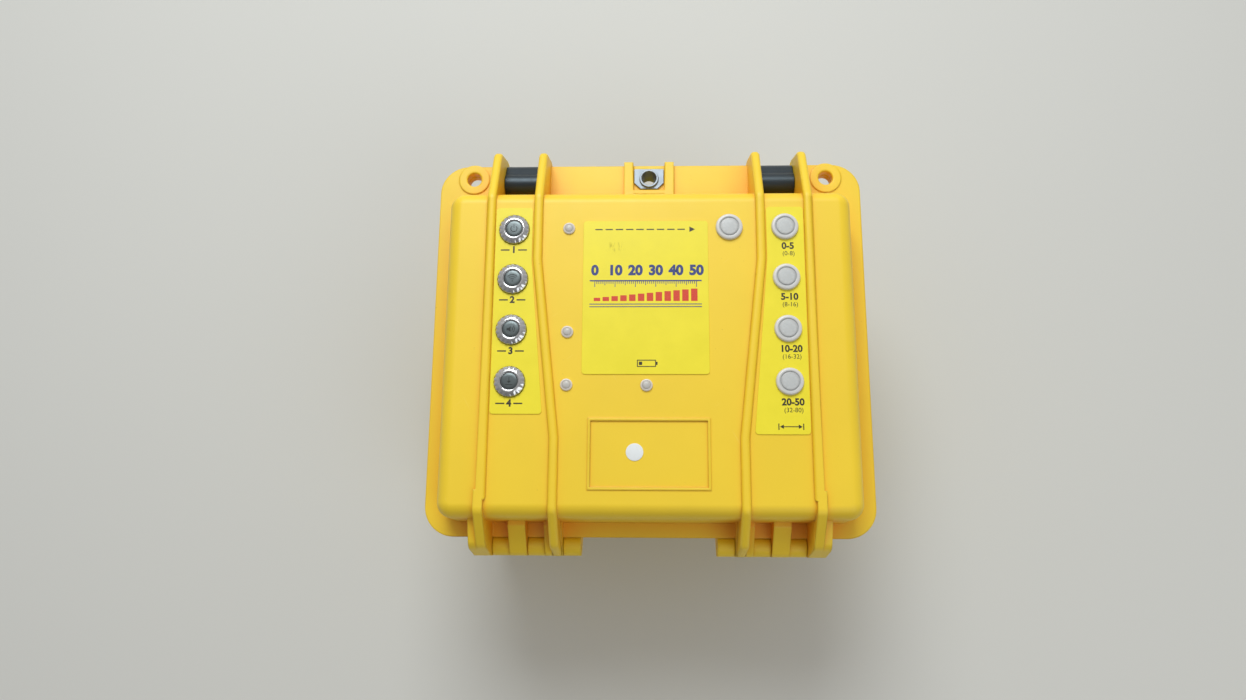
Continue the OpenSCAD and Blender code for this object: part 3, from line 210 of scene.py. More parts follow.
# Finishes


class Wire:
    """A socket of a finish. A sum on wires adds the Math nodes that work it out."""

    def __init__(self, finish, socket):
        self.finish = finish
        self.socket = socket

    def sum(self, operation, first, second):
        return self.finish.node("ShaderNodeMath", {"operation": operation}, {0: first, 1: second})

    def __add__(self, other):
        return self.sum("ADD", self, other)

    def __radd__(self, other):
        return self.sum("ADD", other, self)

    def __sub__(self, other):
        return self.sum("SUBTRACT", self, other)

    def __rsub__(self, other):
        return self.sum("SUBTRACT", other, self)

    def __mul__(self, other):
        return self.sum("MULTIPLY", self, other)

    def __rmul__(self, other):
        return self.sum("MULTIPLY", other, self)

    def span(self, low, high, bottom=0.0, top=1.0):
        """Stretches low..high over bottom..top and stops there."""
        return self.finish.node(
            "ShaderNodeMapRange", {"clamp": True}, {0: self, 1: low, 2: high, 3: bottom, 4: top}
        )


class Finish:
    """A material in the making: patterns in, one shader out."""

    def __init__(self, name, **fixed):
        self.material = bpy.data.materials.new(name)
        self.material.use_nodes = True
        self.tree = self.material.node_tree
        self.tree.nodes.clear()
        self.shader = self.tree.nodes.new("ShaderNodeBsdfPrincipled")
        output = self.tree.nodes.new("ShaderNodeOutputMaterial")
        self.tree.links.new(self.shader.outputs[0], output.inputs[0])
        for socket, value in fixed.items():
            self.plug(self.shader.inputs[socket.replace("_", " ")], value)

    def plug(self, socket, value):
        if isinstance(value, Wire):
            self.tree.links.new(value.socket, socket)
        elif socket.type == "RGBA":
            socket.default_value = (*value, 1)
        else:
            socket.default_value = value

    def node(self, kind, settings=None, sockets=None, out=0):
        """Adds a node: its settings first, then what goes into its sockets."""
        made = self.tree.nodes.new(kind)
        for key, value in (settings or {}).items():
            setattr(made, key, value)
        for key, value in (sockets or {}).items():
            self.plug(made.inputs[key], value)
        return Wire(self, made.outputs[out])

    def at(self, stretch=(1, 1, 1), turn=(0, 0, 0), centre=(0, 0, 0)):
        """Object coordinates from a centre, turned, then drawn out along each axis; 0 drops an axis."""
        place = self.node("ShaderNodeTexCoord", out=3)
        return self.node(
            "ShaderNodeMapping", {"vector_type": "TEXTURE"}, {0: place, 1: centre, 2: turn, 3: stretch}
        )

    def turned_at(self):
        """The piece's own map, centred on the axis that it was turned about, in centimetres."""
        return self.node("ShaderNodeUVMap", {"uv_map": "turned"})

    def length(self, vector):
        return self.node("ShaderNodeVectorMath", {"operation": "LENGTH"}, {0: vector}, out=1)

    def cloud(self, size, detail=3.0, rough=0.55, where=None):
        """Soft noise whose blots are about this size."""
        return self.node(
            "ShaderNodeTexNoise", {"noise_dimensions": "3D"},
            {"Vector": where or self.at(), "Scale": 1 / size, "Detail": detail, "Roughness": rough},
        )

    def pebbles(self, size, where=None):
        """Cells with rounded tops, like a leather or spark texture."""
        return self.node(
            "ShaderNodeTexVoronoi", {"feature": "SMOOTH_F1"},
            {"Vector": where or self.at(), "Scale": 1 / size, "Smoothness": 0.6},
        )

    def scratches(self, size, drawn, turn):
        """Short straight scratches: the middles of cells that are drawn out along one direction."""
        cells = self.node(
            "ShaderNodeTexVoronoi", {"feature": "F1"},
            {"Vector": self.at((1, drawn, 1), turn), "Scale": 1 / size, "Randomness": 1.0},
        )
        return cells.span(0.03, 0.09, 1, 0) * self.cloud(size * 14, 2.0, 0.5).span(0.5, 0.6)

    def edges(self, radius, gain=5.0):
        """1 along sharp edges and 0 on flats."""
        soft = self.node("ShaderNodeBevel", {"samples": 4}, {"Radius": radius})
        flat = self.node("ShaderNodeNewGeometry", out=1)
        same = self.node("ShaderNodeVectorMath", {"operation": "DOT_PRODUCT"}, {0: soft, 1: flat}, out=1)
        return ((1 - same) * gain).span(0, 1)

    def corners(self, reach):
        """A mask for painted shade: 1 in the piece's own corners, where little light reaches, and 0 in the
        open.
        """
        clear = self.node(
            "ShaderNodeAmbientOcclusion", {"samples": 6, "only_local": True}, {"Distance": reach}, out=1
        )
        return clear.span(0.35, 0.92, 1, 0)

    def tint(self, factor, first, second):
        return self.node("ShaderNodeMix", {"data_type": "RGBA"}, {0: factor, 6: first, 7: second}, out=2)

    def relief(self, height, depth, under=None):
        """A bump of this depth in metres, on top of another one."""
        sockets = {"Strength": 1.0, "Distance": depth, "Height": height}
        if under:
            sockets["Normal"] = under
        return self.node("ShaderNodeBump", {}, sockets)

    def rounding(self, radius):
        return self.node("ShaderNodeBevel", {"samples": 4}, {"Radius": radius})

    def done(self, **wires):
        for socket, value in wires.items():
            self.plug(self.shader.inputs[socket.replace("_", " ")], value)
        return self.material


def moulded_case():
    """Yellow case plastic: fine spark grain, slow changes of tone, painted golden shade in its corners,
    rubbed edges and a few scuffs.
    """
    look = bpy.context.scene.detector_case
    f = Finish("case_yellow_plastic", Specular_IOR_Level=0.55)
    colour = tuple(look.colour)
    tone = f.cloud(60 * MM, 3)
    blot = f.cloud(9 * MM, 4, 0.6)
    rub = f.edges(0.9 * MM, 6) * blot.span(0.4, 0.65)
    scuff = f.scratches(2.6 * MM, 26, (0, 0, 0.5)) + f.scratches(2 * MM, 18, (0, 0, -0.9))
    specks = f.cloud(2.2 * MM, 2, 0.4).span(0.72, 0.8) * f.cloud(30 * MM).span(0.5, 0.62)
    # Painted shade: the corner mask tints the plastic towards a deeper golden colour where little light
    # reaches the case's own corners
    deep = f.corners(20 * MM)
    body = f.tint(tone.span(0.3, 0.7), shade(colour, 0.965), shade(colour, 1.02))
    body = f.tint(deep * 0.9, body, tuple(look.deep))
    body = f.tint(rub * 0.3, body, paint(252, 226, 110))
    body = f.tint(scuff * 0.3, body, paint(250, 224, 120))
    body = f.tint(specks * 0.35, body, paint(150, 112, 22))
    grain = f.pebbles(0.55 * MM) * 0.6 + f.cloud(0.25 * MM, 2) * 0.4
    swell = f.relief(tone, 0.12 * MM, f.rounding(look.edge * 1.6))
    skin = f.relief(grain, look.grain, swell)
    rough = 0.4 + blot * 0.09 - rub * 0.1 + scuff * 0.15
    return f.done(Base_Color=body, Roughness=rough, Normal=skin)


def moulded(name, colour, rough, grain, depth, rubbed, edge=0.5 * MM, dust=0.0, **fixed):
    """Other moulded plastics: grain, tone, paler rubbed edges and a little dust."""
    f = Finish(name, **fixed)
    tone = f.cloud(22 * MM, 3)
    blot = f.cloud(3.5 * MM, 4, 0.6)
    rub = f.edges(edge, 5) * blot.span(0.42, 0.62)
    body = f.tint(tone.span(0.3, 0.7), shade(colour, 0.82), shade(colour, 1.2))
    body = f.tint(rub * 0.55, body, rubbed)
    if dust:
        body = f.tint(f.cloud(6 * MM, 5, 0.7).span(0.5, 0.75) * dust, body, paint(150, 140, 118))
    scuff = f.scratches(1.8 * MM, 16, (0.3, 0.2, 0.9))
    skin = f.relief(f.pebbles(grain), depth, f.rounding(edge))
    skin = f.relief(scuff, -0.02 * MM, skin)
    return f.done(Base_Color=body, Roughness=rough + blot * 0.16 - rub * 0.12 + scuff * 0.1, Normal=skin)


def nylon():
    look = bpy.context.scene.detector_fittings
    return moulded(
        "fitting_black_nylon", tuple(look.black), 0.3, 0.7 * MM, 0.012 * MM, paint(96, 104, 110),
        Specular_IOR_Level=0.62, Specular_Tint=paint(214, 236, 250),
    )


def metal(name, colour, rough, stretch, edge=0.3 * MM, stain=0.25, streak=0.5 * MM):
    """Drawn, plated or brushed metal: streaks one way, stains and bright rubbed edges."""
    f = Finish(name, Metallic=1.0)
    lines = f.cloud(streak, 3, 0.7, f.at(stretch))
    cloudy = f.cloud(7 * MM, 4, 0.6)
    rub = f.edges(edge, 5)
    body = f.tint(lines, shade(colour, 0.84), shade(colour, 1.08))
    body = f.tint(cloudy.span(0.45, 0.8) * stain, body, shade(colour, 0.55))
    body = f.tint(rub * 0.5, body, shade(colour, 1.25))
    skin = f.relief(lines, 0.008 * MM, f.rounding(edge))
    return f.done(Base_Color=body, Roughness=rough + lines * 0.14 + cloudy * 0.1 - rub * 0.08, Normal=skin)


def turned_metal(name, colour, rough, groove, depth):
    """Lathe turned metal: fine rings about the piece's own axis, wipes and small dents."""
    f = Finish(name, Metallic=1.0)
    own = f.turned_at()
    radius = f.length(own)
    rings = f.node(
        "ShaderNodeTexNoise", {"noise_dimensions": "1D"},
        {"W": radius, "Scale": 0.01 / groove, "Detail": 4.0, "Roughness": 0.7},
    )
    wipe = f.cloud(2.4 * MM, 3, 0.5)
    body = f.tint(rings, shade(colour, 0.86), shade(colour, 1.06))
    body = f.tint(wipe.span(0.55, 0.8) * 0.2, body, shade(colour, 0.6))
    skin = f.relief(rings, depth, f.rounding(0.12 * MM))
    return f.done(Base_Color=body, Roughness=rough + wipe * 0.1 + rings * 0.05, Normal=skin)


def film():
    """Printed label film: flat lemon colour, faint haze, dulled edges and a rubbed patch."""
    look = bpy.context.scene.detector_panel
    colour = tuple(look.film)
    f = Finish("label_film", Specular_IOR_Level=0.45)
    haze = f.cloud(14 * MM, 4, 0.6)
    fibre = f.cloud(0.8 * MM, 3)
    rub = f.edges(0.25 * MM, 6)
    spot = f.length(f.at((7, 4.5, 0), centre=(-20.2 * MM, 51.3 * MM, 0)))
    mark = spot.span(0.4 * MM, 1 * MM, 1, 0) * f.cloud(1.2 * MM, 4, 0.6, f.at((1, 4.5, 1))).span(0.5, 0.66)
    body = f.tint(haze.span(0.3, 0.75), shade(colour, 0.96), shade(colour, 1.02))
    body = f.tint(fibre * 0.08, body, paint(250, 240, 120))
    body = f.tint(mark * 0.6, body, paint(148, 134, 34))
    body = f.tint(rub * 0.4, body, paint(206, 182, 60))
    skin = f.relief(f.cloud(2.5 * MM, 2), 0.015 * MM)
    skin = f.relief(fibre, 0.004 * MM, skin)
    return f.done(Base_Color=body, Roughness=0.3 + haze * 0.16 + mark * 0.3, Normal=skin)


def ink(name, colour):
    """Screen printed ink: a little uneven, with pinholes where the film shows."""
    f = Finish(name)
    cover = f.cloud(0.5 * MM, 4, 0.6)
    worn = f.cloud(6 * MM, 3).span(0.62, 0.75) * cover.span(0.5, 0.7)
    body = f.tint(cover.span(0.35, 0.7), shade(colour, 0.85), shade(colour, 1.25))
    body = f.tint(worn * 0.5, body, paint(206, 190, 60))
    return f.done(Base_Color=body, Roughness=0.36 + cover * 0.16, Normal=f.relief(cover, 0.004 * MM))


def frosted(name, pale, milky, cell, facets):
    """Frosted lens: milky rim, greyer ring and a faceted middle about the piece's own axis."""
    f = Finish(name, Coat_Weight=0.25, Coat_Roughness=0.18, Specular_IOR_Level=0.6)
    own = f.turned_at()
    radius = f.length(own)
    ring = radius.span(facets * 0.7, facets * 0.86) * radius.span(facets * 1.02, facets * 1.2, 1, 0)
    prisms = f.node(
        "ShaderNodeTexVoronoi", {"feature": "F1", "distance": "CHEBYCHEV"},
        {"Vector": own, "Scale": 0.01 / cell},
    )
    inside = radius.span(facets * 0.8, facets * 0.9, 1, 0)
    dust = f.cloud(1.3 * MM, 4, 0.65)
    body = f.tint(radius.span(facets * 0.6, facets * 1.3), milky, pale)
    body = f.tint(ring * 0.6, body, shade(milky, 0.68))
    body = f.tint((prisms * 1.1).span(0, 0.9) * inside * 0.35, body, shade(milky, 0.66))
    body = f.tint(dust.span(0.5, 0.75) * 0.12, body, paint(214, 196, 170))
    skin = f.relief(prisms * inside, 0.1 * MM, f.relief(dust, 0.01 * MM, f.rounding(0.15 * MM)))
    return f.done(Base_Color=body, Roughness=0.3 + dust * 0.22, Normal=skin)


def rubber():
    f = Finish("seal_black_rubber", Specular_IOR_Level=0.35)
    dust = f.cloud(2 * MM, 5, 0.7)
    body = f.tint(dust.span(0.4, 0.8), paint(30, 30, 31), paint(66, 64, 60))
    return f.done(
        Base_Color=body, Roughness=0.62 + dust * 0.2,
        Normal=f.relief(f.cloud(0.3 * MM, 3), 0.02 * MM, f.rounding(0.2 * MM)),
    )


def felt_disc():
    f = Finish("vent_white_membrane", Specular_IOR_Level=0.25)
    fibre = f.cloud(0.35 * MM, 5, 0.75)
    blot = f.cloud(3 * MM, 3)
    body = f.tint(fibre, paint(214, 220, 223), paint(236, 240, 242))
    body = f.tint(blot.span(0.5, 0.8) * 0.25, body, paint(206, 204, 190))
    return f.done(Base_Color=body, Roughness=0.75 + fibre * 0.15, Normal=f.relief(fibre, 0.03 * MM))


def lacquered_board():
    """Green circuit board: copper tracks under lacquer, tinned rings where they end."""
    f = Finish("board_green_lacquer", Coat_Weight=0.4, Coat_Roughness=0.12)
    tracks = f.node(
        "ShaderNodeTexVoronoi", {"feature": "DISTANCE_TO_EDGE"},
        {"Vector": f.at((1, 1, 0)), "Scale": 1 / (6 * MM), "Randomness": 0.35},
    )
    pads = f.node(
        "ShaderNodeTexVoronoi", {"feature": "F1"},
        {"Vector": f.at((1, 1, 0)), "Scale": 1 / (6 * MM), "Randomness": 0.35},
    )
    track = 1 - tracks.span(0.03, 0.07)
    pad = 1 - pads.span(0.1, 0.15)
    body = f.tint(f.cloud(20 * MM), paint(12, 78, 42), paint(20, 98, 54))
    body = f.tint(track * 0.6, body, paint(66, 138, 74))
    body = f.tint(pad, body, paint(196, 192, 176))
    return f.done(
        Base_Color=body, Roughness=0.34 + f.cloud(4 * MM) * 0.12 - pad * 0.1,
        Normal=f.relief(track + pad, 0.04 * MM),
    )


def enamelled_wire():
    """Copper winding: one fine turn beside the other along the rod, with painted shade in the grooves
    between turns and a painted highlight on their crests.
    """
    f = Finish("winding_copper_wire", Coat_Weight=0.5, Coat_Roughness=0.2)
    turns = f.node(
        "ShaderNodeTexWave", {"wave_type": "BANDS", "bands_direction": "X", "wave_profile": "SIN"},
        {"Vector": f.at(), "Scale": 0.31 / (0.7 * MM), "Distortion": 0.3, "Detail": 1.0},
    )
    # Painted shade and highlight: the colour is dark in the grooves between turns and bright on their crests
    body = f.tint(turns, paint(96, 40, 20), paint(190, 104, 56))
    body = f.tint(f.cloud(5 * MM).span(0.5, 0.8) * 0.3, body, paint(120, 52, 26))
    skin = f.relief(turns, 0.25 * MM)
    return f.done(Base_Color=body, Metallic=0.75, Roughness=0.3 + turns * 0.1, Normal=skin)


def ferrite():
    f = Finish("rod_grey_ferrite", Specular_IOR_Level=0.4)
    pits = f.pebbles(0.5 * MM)
    body = f.tint(f.cloud(3 * MM, 5, 0.7), paint(62, 62, 66), paint(92, 91, 94))
    body = f.tint(f.edges(0.3 * MM) * 0.4, body, paint(130, 128, 128))
    return f.done(
        Base_Color=body, Roughness=0.5 + pits * 0.3, Normal=f.relief(pits, 0.03 * MM, f.rounding(0.3 * MM))
    )


def lead_jacket():
    f = Finish("lead_black_jacket", Specular_IOR_Level=0.45)
    blot = f.cloud(4 * MM, 4)
    body = f.tint(blot, paint(26, 26, 28), paint(52, 52, 54))
    skin = f.relief(f.cloud(0.6 * MM, 3), 0.02 * MM)
    return f.done(Base_Color=body, Roughness=0.4 + blot * 0.2, Normal=skin)


def mark_grey():
    """Etched sign on a steel cap."""
    f = Finish("cap_etched_mark", Specular_IOR_Level=0.3)
    bite = f.cloud(0.2 * MM, 3)
    body = f.tint(bite, paint(34, 38, 38), paint(62, 66, 66))
    return f.done(Base_Color=body, Roughness=0.55 + bite * 0.2, Normal=f.relief(bite, 0.01 * MM))


def floor_finish():
    look = bpy.context.scene.detector_stage
    f = Finish("stage_floor", Specular_IOR_Level=0.2)
    wide = f.cloud(400 * MM, 2)
    body = f.tint(wide, shade(tuple(look.floor), 0.97), shade(tuple(look.floor), 1.0))
    return f.done(Base_Color=body, Roughness=0.7 + wide * 0.1)


FINISHES = {
    "case": moulded_case,
    "latch_black": nylon,
    "seal_rubber": rubber,
    "pin_steel": lambda: metal("pin_drawn_steel", paint(206, 206, 207), 0.22, (16, 1, 1)),
    "plate_steel": lambda: metal(
        "plate_bright_steel", tuple(bpy.context.scene.detector_fittings.steel), 0.4, (1, 12, 1)
    ),
    "bezel_chrome": lambda: turned_metal(
        "bezel_bright_chrome", paint(208, 210, 214), 0.08, 0.4 * MM, 0.006 * MM
    ),
    "cap_mark": mark_grey,
    "cap_steel": lambda: turned_metal(
        "cap_satin_steel", paint(98, 106, 108), 0.3, 0.15 * MM, 0.006 * MM
    ),
    "nut_metal": lambda: metal("nut_plated", paint(214, 213, 206), 0.24, (1, 1, 3)),
    "switch_body": lambda: moulded(
        "switch_black_body", paint(40, 40, 42), 0.5, 0.4 * MM, 0.02 * MM, paint(80, 80, 80)
    ),
    "lens": lambda: frosted(
        "lens_frosted", tuple(bpy.context.scene.detector_panel.lens), paint(190, 194, 195), 1.5 * MM, 0.56
    ),
    "lens_clear": lambda: frosted(
        "lens_small_clear", paint(222, 212, 200), paint(190, 188, 184), 0.9 * MM, 0.26
    ),
    "lamp": lambda: moulded(
        "lamp_water_clear", paint(232, 228, 204), 0.12, 1.5 * MM, 0.01 * MM, paint(250, 250, 240),
        Specular_IOR_Level=0.7,
    ),
    "label": film,
    "vent": felt_disc,
    "cover": lambda: moulded(
        "cover_black_sheet", paint(46, 47, 50), 0.46, 0.6 * MM, 0.03 * MM, paint(96, 96, 98), 0.4 * MM, 0.15
    ),
    "screw_steel": lambda: metal("screw_plated", paint(190, 190, 194), 0.25, (1, 1, 5), 0.2 * MM),
    "board": lacquered_board,
    "standoff_brass": lambda: metal("standoff_turned_brass", paint(214, 178, 96), 0.22, (1, 1, 10)),
    "chip": lambda: moulded(
        "chip_black_epoxy", paint(36, 36, 38), 0.45, 0.3 * MM, 0.015 * MM, paint(90, 90, 92)
    ),
    "capacitor": lambda: moulded(
        "capacitor_blue_sleeve", paint(32, 48, 104), 0.28, 1 * MM, 0.01 * MM, paint(90, 110, 170)
    ),
    "horn": lambda: moulded(
        "horn_black_case", paint(40, 40, 42), 0.4, 0.5 * MM, 0.02 * MM, paint(88, 88, 90)
    ),
    "battery_case": lambda: moulded(
        "battery_dark_case", paint(62, 64, 68), 0.42, 0.9 * MM, 0.05 * MM, paint(120, 122, 126),
        0.8 * MM, 0.22,
    ),
    "tray": lambda: moulded(
        "tray_grey_plastic", paint(84, 88, 88), 0.45, 0.8 * MM, 0.03 * MM, paint(130, 134, 134), dust=0.2
    ),
    "strap": lambda: metal("strap_plated_steel", paint(182, 184, 188), 0.28, (12, 1, 1), 0.4 * MM, 0.35),
    "ferrite": ferrite,
    "winding": enamelled_wire,
    "clip": lambda: moulded(
        "clip_white_nylon", paint(214, 212, 202), 0.4, 0.6 * MM, 0.02 * MM, paint(236, 235, 228), dust=0.15
    ),
    "lead": lead_jacket,
    "valve": lambda: moulded(
        "valve_black_plastic", paint(40, 41, 44), 0.34, 0.6 * MM, 0.02 * MM, paint(100, 102, 104)
    ),
}
MADE = {}


def finish(slot):
    """The finish of a material slot, made once."""
    if slot not in MADE:
        MADE[slot] = FINISHES[slot]()
    return MADE[slot]


# Making pieces


def put(name, bm, body, slot, material=None, stands_for=(), edge=0.0, steps=2, sharp=32):
    """Turns a bmesh into a finished piece that rides on its body."""
    for face in bm.faces:
        face.smooth = True
    mesh = bpy.data.meshes.new(name)
    bm.to_mesh(mesh)
    bm.free()
    for extra in [a.name for a in mesh.attributes if a.name in ("custom_normal", "sharp_face")]:
        mesh.attributes.remove(mesh.attributes[extra])
    mesh.set_sharp_from_angle(angle=radians(sharp))
    mesh.materials.append(material or finish(slot))
    piece = bpy.data.objects.new(name, mesh)
    bpy.context.scene.collection.objects.link(piece)
    if edge:
        round_off = piece.modifiers.new("Edges", "BEVEL")
        round_off.width = edge
        round_off.segments = steps
        round_off.limit_method = "ANGLE"
        round_off.angle_limit = radians(sharp)
        round_off.profile = 0.5
        round_off.use_clamp_overlap = True
        even_out(piece)
    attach(piece, body)
    if stands_for:
        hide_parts(*stands_for)
    return piece


def even_out(piece):
    """Keeps flat faces flat where they meet rounded edges."""
    even = piece.modifiers.new("Shading", "WEIGHTED_NORMAL")
    even.keep_sharp = True


def body_of(node):
    for body, nodes in frame["record"]["behaviour"]["bodies"].items():
        if node in nodes:
            return body
    raise RuntimeError("no body holds " + node)


def slot_of(node):
    for part in frame["record"]["subparts"]:
        if part["node"] == node:
            return part["material_slot"]
    raise RuntimeError("no slot is named for " + node)


def middle_of(node):
    low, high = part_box(node)
    return (low + high) / 2


def keep(*nodes):
    """CAD nodes whose shape is right: each gets the finish of its slot."""
    for node in nodes:
        mesh = frame["nodes"][node].data
        mesh.materials.clear()
        mesh.materials.append(finish(slot_of(node)))


def merged(node):
    """A merged copy of a CAD node, with its flat faces whole."""
    bm = bmesh.new()
    bm.from_mesh(frame["nodes"][node].data)
    bmesh.ops.remove_doubles(bm, verts=bm.verts[:], dist=0.002 * MM)
    bmesh.ops.dissolve_limit(
        bm, angle_limit=radians(0.6), use_dissolve_boundaries=False, verts=bm.verts[:], edges=bm.edges[:]
    )
    return bm


def soften(node, edge, name, steps=2):
    """A CAD node's shape with rounded edges, in its place."""
    put(name, merged(node), body_of(node), slot_of(node), stands_for=(node,), edge=edge, steps=steps)


ALONG_X = Matrix(((0, 0, 1, 0), (1, 0, 0, 0), (0, 1, 0, 0), (0, 0, 0, 1)))


def turn_up(profile, spot, steps, solid=True):
    """Turns a profile of radius and height, in millimetres, about an upright axis through a spot."""
    bm = bmesh.new()
    points = [bm.verts.new((r * MM, 0, z * MM)) for r, z in profile]
    lines = [bm.edges.new(pair) for pair in zip(points, points[1:])]
    if not solid:
        lines.append(bm.edges.new((points[-1], points[0])))
    bmesh.ops.spin(
        bm, geom=points + lines, cent=(0, 0, 0), axis=(0, 0, 1), dvec=(0, 0, 0), angle=tau,
        steps=steps, use_merge=True, use_duplicate=False,
    )
    bmesh.ops.remove_doubles(bm, verts=bm.verts[:], dist=0.0005 * MM)
    bmesh.ops.recalc_face_normals(bm, faces=bm.faces[:])
    spread = bm.loops.layers.uv.new("turned")
    for face in bm.faces:
        for corner in face.loops:
            corner[spread].uv = (corner.vert.co.x * 100, corner.vert.co.y * 100)
    bmesh.ops.translate(bm, verts=bm.verts[:], vec=spot)
    return bm


def slab(outline, low, high, bm=None):
    """Lifts a flat outline, in metres, from one height to another."""
    bm = bm or bmesh.new()
    floor = bm.faces.new([bm.verts.new((x, y, low)) for x, y in outline])
    lifted = bmesh.ops.extrude_face_region(bm, geom=[floor])["geom"]
    top = [v for v in lifted if isinstance(v, bmesh.types.BMVert)]
    bmesh.ops.translate(bm, verts=top, vec=(0, 0, high - low))
    faces = {f for v in top for f in v.link_faces} | {floor}
    bmesh.ops.recalc_face_normals(bm, faces=list(faces))
    return bm


def bar(bm, x0, y0, x1, y1, low, high):
    """A short straight stroke."""
    slab([(x0, y0), (x1, y0), (x1, y1), (x0, y1)], low, high, bm)


def arc(bm, x, y, radius, width, start, sweep, low, high):
    """A curved stroke about a point, with its angles in degrees."""
    inner, outer = radius - width / 2, radius + width / 2
    a = Vector((cos(radians(start)), sin(radians(start)), 0))
    centre = Vector((x, y, low))
    points = [bm.verts.new(centre + a * inner), bm.verts.new(centre + a * outer)]
    line = bm.edges.new(points)
    bmesh.ops.spin(
        bm, geom=points + [line], cent=centre, axis=(0, 0, 1), dvec=(0, 0, 0), angle=radians(sweep),
        steps=max(6, int(abs(sweep) / 9)), use_merge=abs(sweep) >= 360, use_duplicate=False,
    )
    faces = list({f for p in points for f in p.link_faces})
    region = set(faces)
    while faces:
        for edge in faces.pop().edges:
            for other in edge.link_faces:
                if other not in region:
                    region.add(other)
                    faces.append(other)
    lifted = bmesh.ops.extrude_face_region(bm, geom=list(region))["geom"]
    top = [v for v in lifted if isinstance(v, bmesh.types.BMVert)]
    bmesh.ops.translate(bm, verts=top, vec=(0, 0, high - low))
    bmesh.ops.recalc_face_normals(bm, faces=list({f for v in top for f in v.link_faces} | region))


def digits(bm, words, x, y, height, low, high, bold):
    """Numbers and dashes, centred on a point of the panel."""
    letters = bpy.data.curves.new("digits", "FONT")
    letters.body = words
    letters.size = height / 0.72
    letters.extrude = (high - low) / 2
    letters.offset = bold * height
    letters.align_x = "CENTER"
    letters.align_y = "CENTER"
    letters.resolution_u = 4
    shown = bpy.data.objects.new("digits", letters)
    bpy.context.scene.collection.objects.link(shown)
    bpy.context.view_layer.update()
    flat = bpy.data.meshes.new_from_object(shown.evaluated_get(bpy.context.evaluated_depsgraph_get()))
    flat.transform(Matrix.Translation((x, y, (low + high) / 2)))
    bm.from_mesh(flat)
    bpy.data.objects.remove(shown)
    bpy.data.curves.remove(letters)
    bpy.data.meshes.remove(flat)


# The pieces


class DETECTOR_OT_case(bpy.types.Operator):
    """Base and lid: the moulded shells with their edges rounded"""

    bl_idname = "detector.case"
    bl_label = "Case shells"

    def execute(self, context):
        for node, name in (("lid_shell", "lid_moulding"), ("base_shell", "base_moulding")):
            bm = merged(node)
            self.round_crests(bm, context.scene.detector_case)
            piece = put(name, bm, body_of(node), "case", stands_for=(node,), sharp=40)
            even_out(piece)
        return {"FINISHED"}

    def round_crests(self, bm, look):
        """Rounds the ribs and fins most, then locks and flange, then hinge knuckles and arms."""
        pin_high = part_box("hinge_pin_right")[1]
        arm_low, arm_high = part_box("latch_arm_right")
        plate_low, plate_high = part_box("lid_hasp_plate")
        side, front = cad_box[1].x, plate_high.y + PLATE_IN
        inner = arm_low.x - LATCH_GAP - RIB / 2
        outer = arm_high.x + LATCH_GAP + RIB / 2
        ribs = [centre + way * RIB / 2 for centre in (inner, outer, inner - RIB_SHIFT) for way in (-1, 1)]
        hole = Vector((side - LOCK_HOLE[0], front - LOCK_HOLE[1]))

        def across(edge):
            turns = sorted(abs(face.normal.x) for face in edge.link_faces)
            return turns[1] > 0.9 and turns[0] < 0.35

        def on_rib(edge):
            spots = [v.co for v in edge.verts]
            straight = any(all(abs(abs(c.x) - x) < NEAR for c in spots) for x in ribs)
            slanted = all(
                c.z > RIB_LOW and inner - RIB_SHIFT - RIB < abs(c.x) < inner + RIB for c in spots
            )
            return across(edge) and (straight or slanted)

        def from_hole(vert):
            return (Vector((abs(vert.co.x), vert.co.y)) - hole).length

        def on_hole(edge):
            return all(from_hole(v) < LOCK_HOLE_R + 4 * NEAR for v in edge.verts)

        def on_boss(edge):
            return all(abs(from_hole(v) - LOCK_BOSS_R) < 2 * NEAR for v in edge.verts)

        def on_frame(edge):
            upright = max(abs(face.normal.x) for face in edge.link_faces) > 0.9
            return upright and all(
                plate_high.x - 2 * NEAR < abs(v.co.x) < plate_high.x + FRAME + 2 * NEAR
                and v.co.y > plate_low.y - FRAME / 2 - 2 * NEAR
                for v in edge.verts
            )

        def on_rim(edge):
            spots = [v.co for v in edge.verts]
            turns = sorted(abs(face.normal.z) for face in edge.link_faces)
            return (
                abs(spots[0].z - spots[1].z) < NEAR and turns[1] > 0.98 and turns[0] < 0.1
                and all(abs(c.x) > side - CORNER[0] or abs(abs(c.y) - front) < 2 * NEAR for c in spots)
                and all(abs(c.y) > front - CORNER[1] or abs(abs(c.x) - side) < 2 * NEAR for c in spots)
            )

        def on_arm(edge):
            hinged = all(v.co.y < pin_high.y + ARM_REACH for v in edge.verts)
            return hinged and across(edge) and not on_rib(edge)

        self.round(bm, on_rib, look.crest, 4)
        self.round(bm, on_hole, look.edge * 1.2, 4)
        self.round(bm, on_boss, look.edge * 0.6, 2)
        self.round(bm, on_frame, look.edge, 3)
        self.round(bm, on_rim, look.edge * 1.2, 3, clamp=True)
        self.round(bm, on_arm, look.edge, 3, clamp=True)

    def round(self, bm, wanted, size, steps, clamp=False):
        """Bevels the sharp outer edges that a test picks; a clamp keeps it off short neighbours."""
        edges = [
            e for e in bm.edges
            if len(e.link_faces) == 2 and e.is_convex and e.calc_face_angle(0) > 0.7 and wanted(e)
        ]
        bmesh.ops.bevel(
            bm, geom=edges, offset=size, segments=steps, affect="EDGES", profile=0.5, material=-1,
            offset_type="OFFSET", clamp_overlap=clamp,
        )


class DETECTOR_OT_hinges(bpy.types.Operator):
    """Hinge pins and the seal between lid and base"""

    bl_idname = "detector.hinges"
    bl_label = "Hinge pins and seal"

    def execute(self, context):
        for side in SIDES:
            soften(f"hinge_pin_{side}", 0.35 * MM, f"hinge_rod_{side}")
        soften("lid_gasket", 0.4 * MM, "lid_seal")
        return {"FINISHED"}


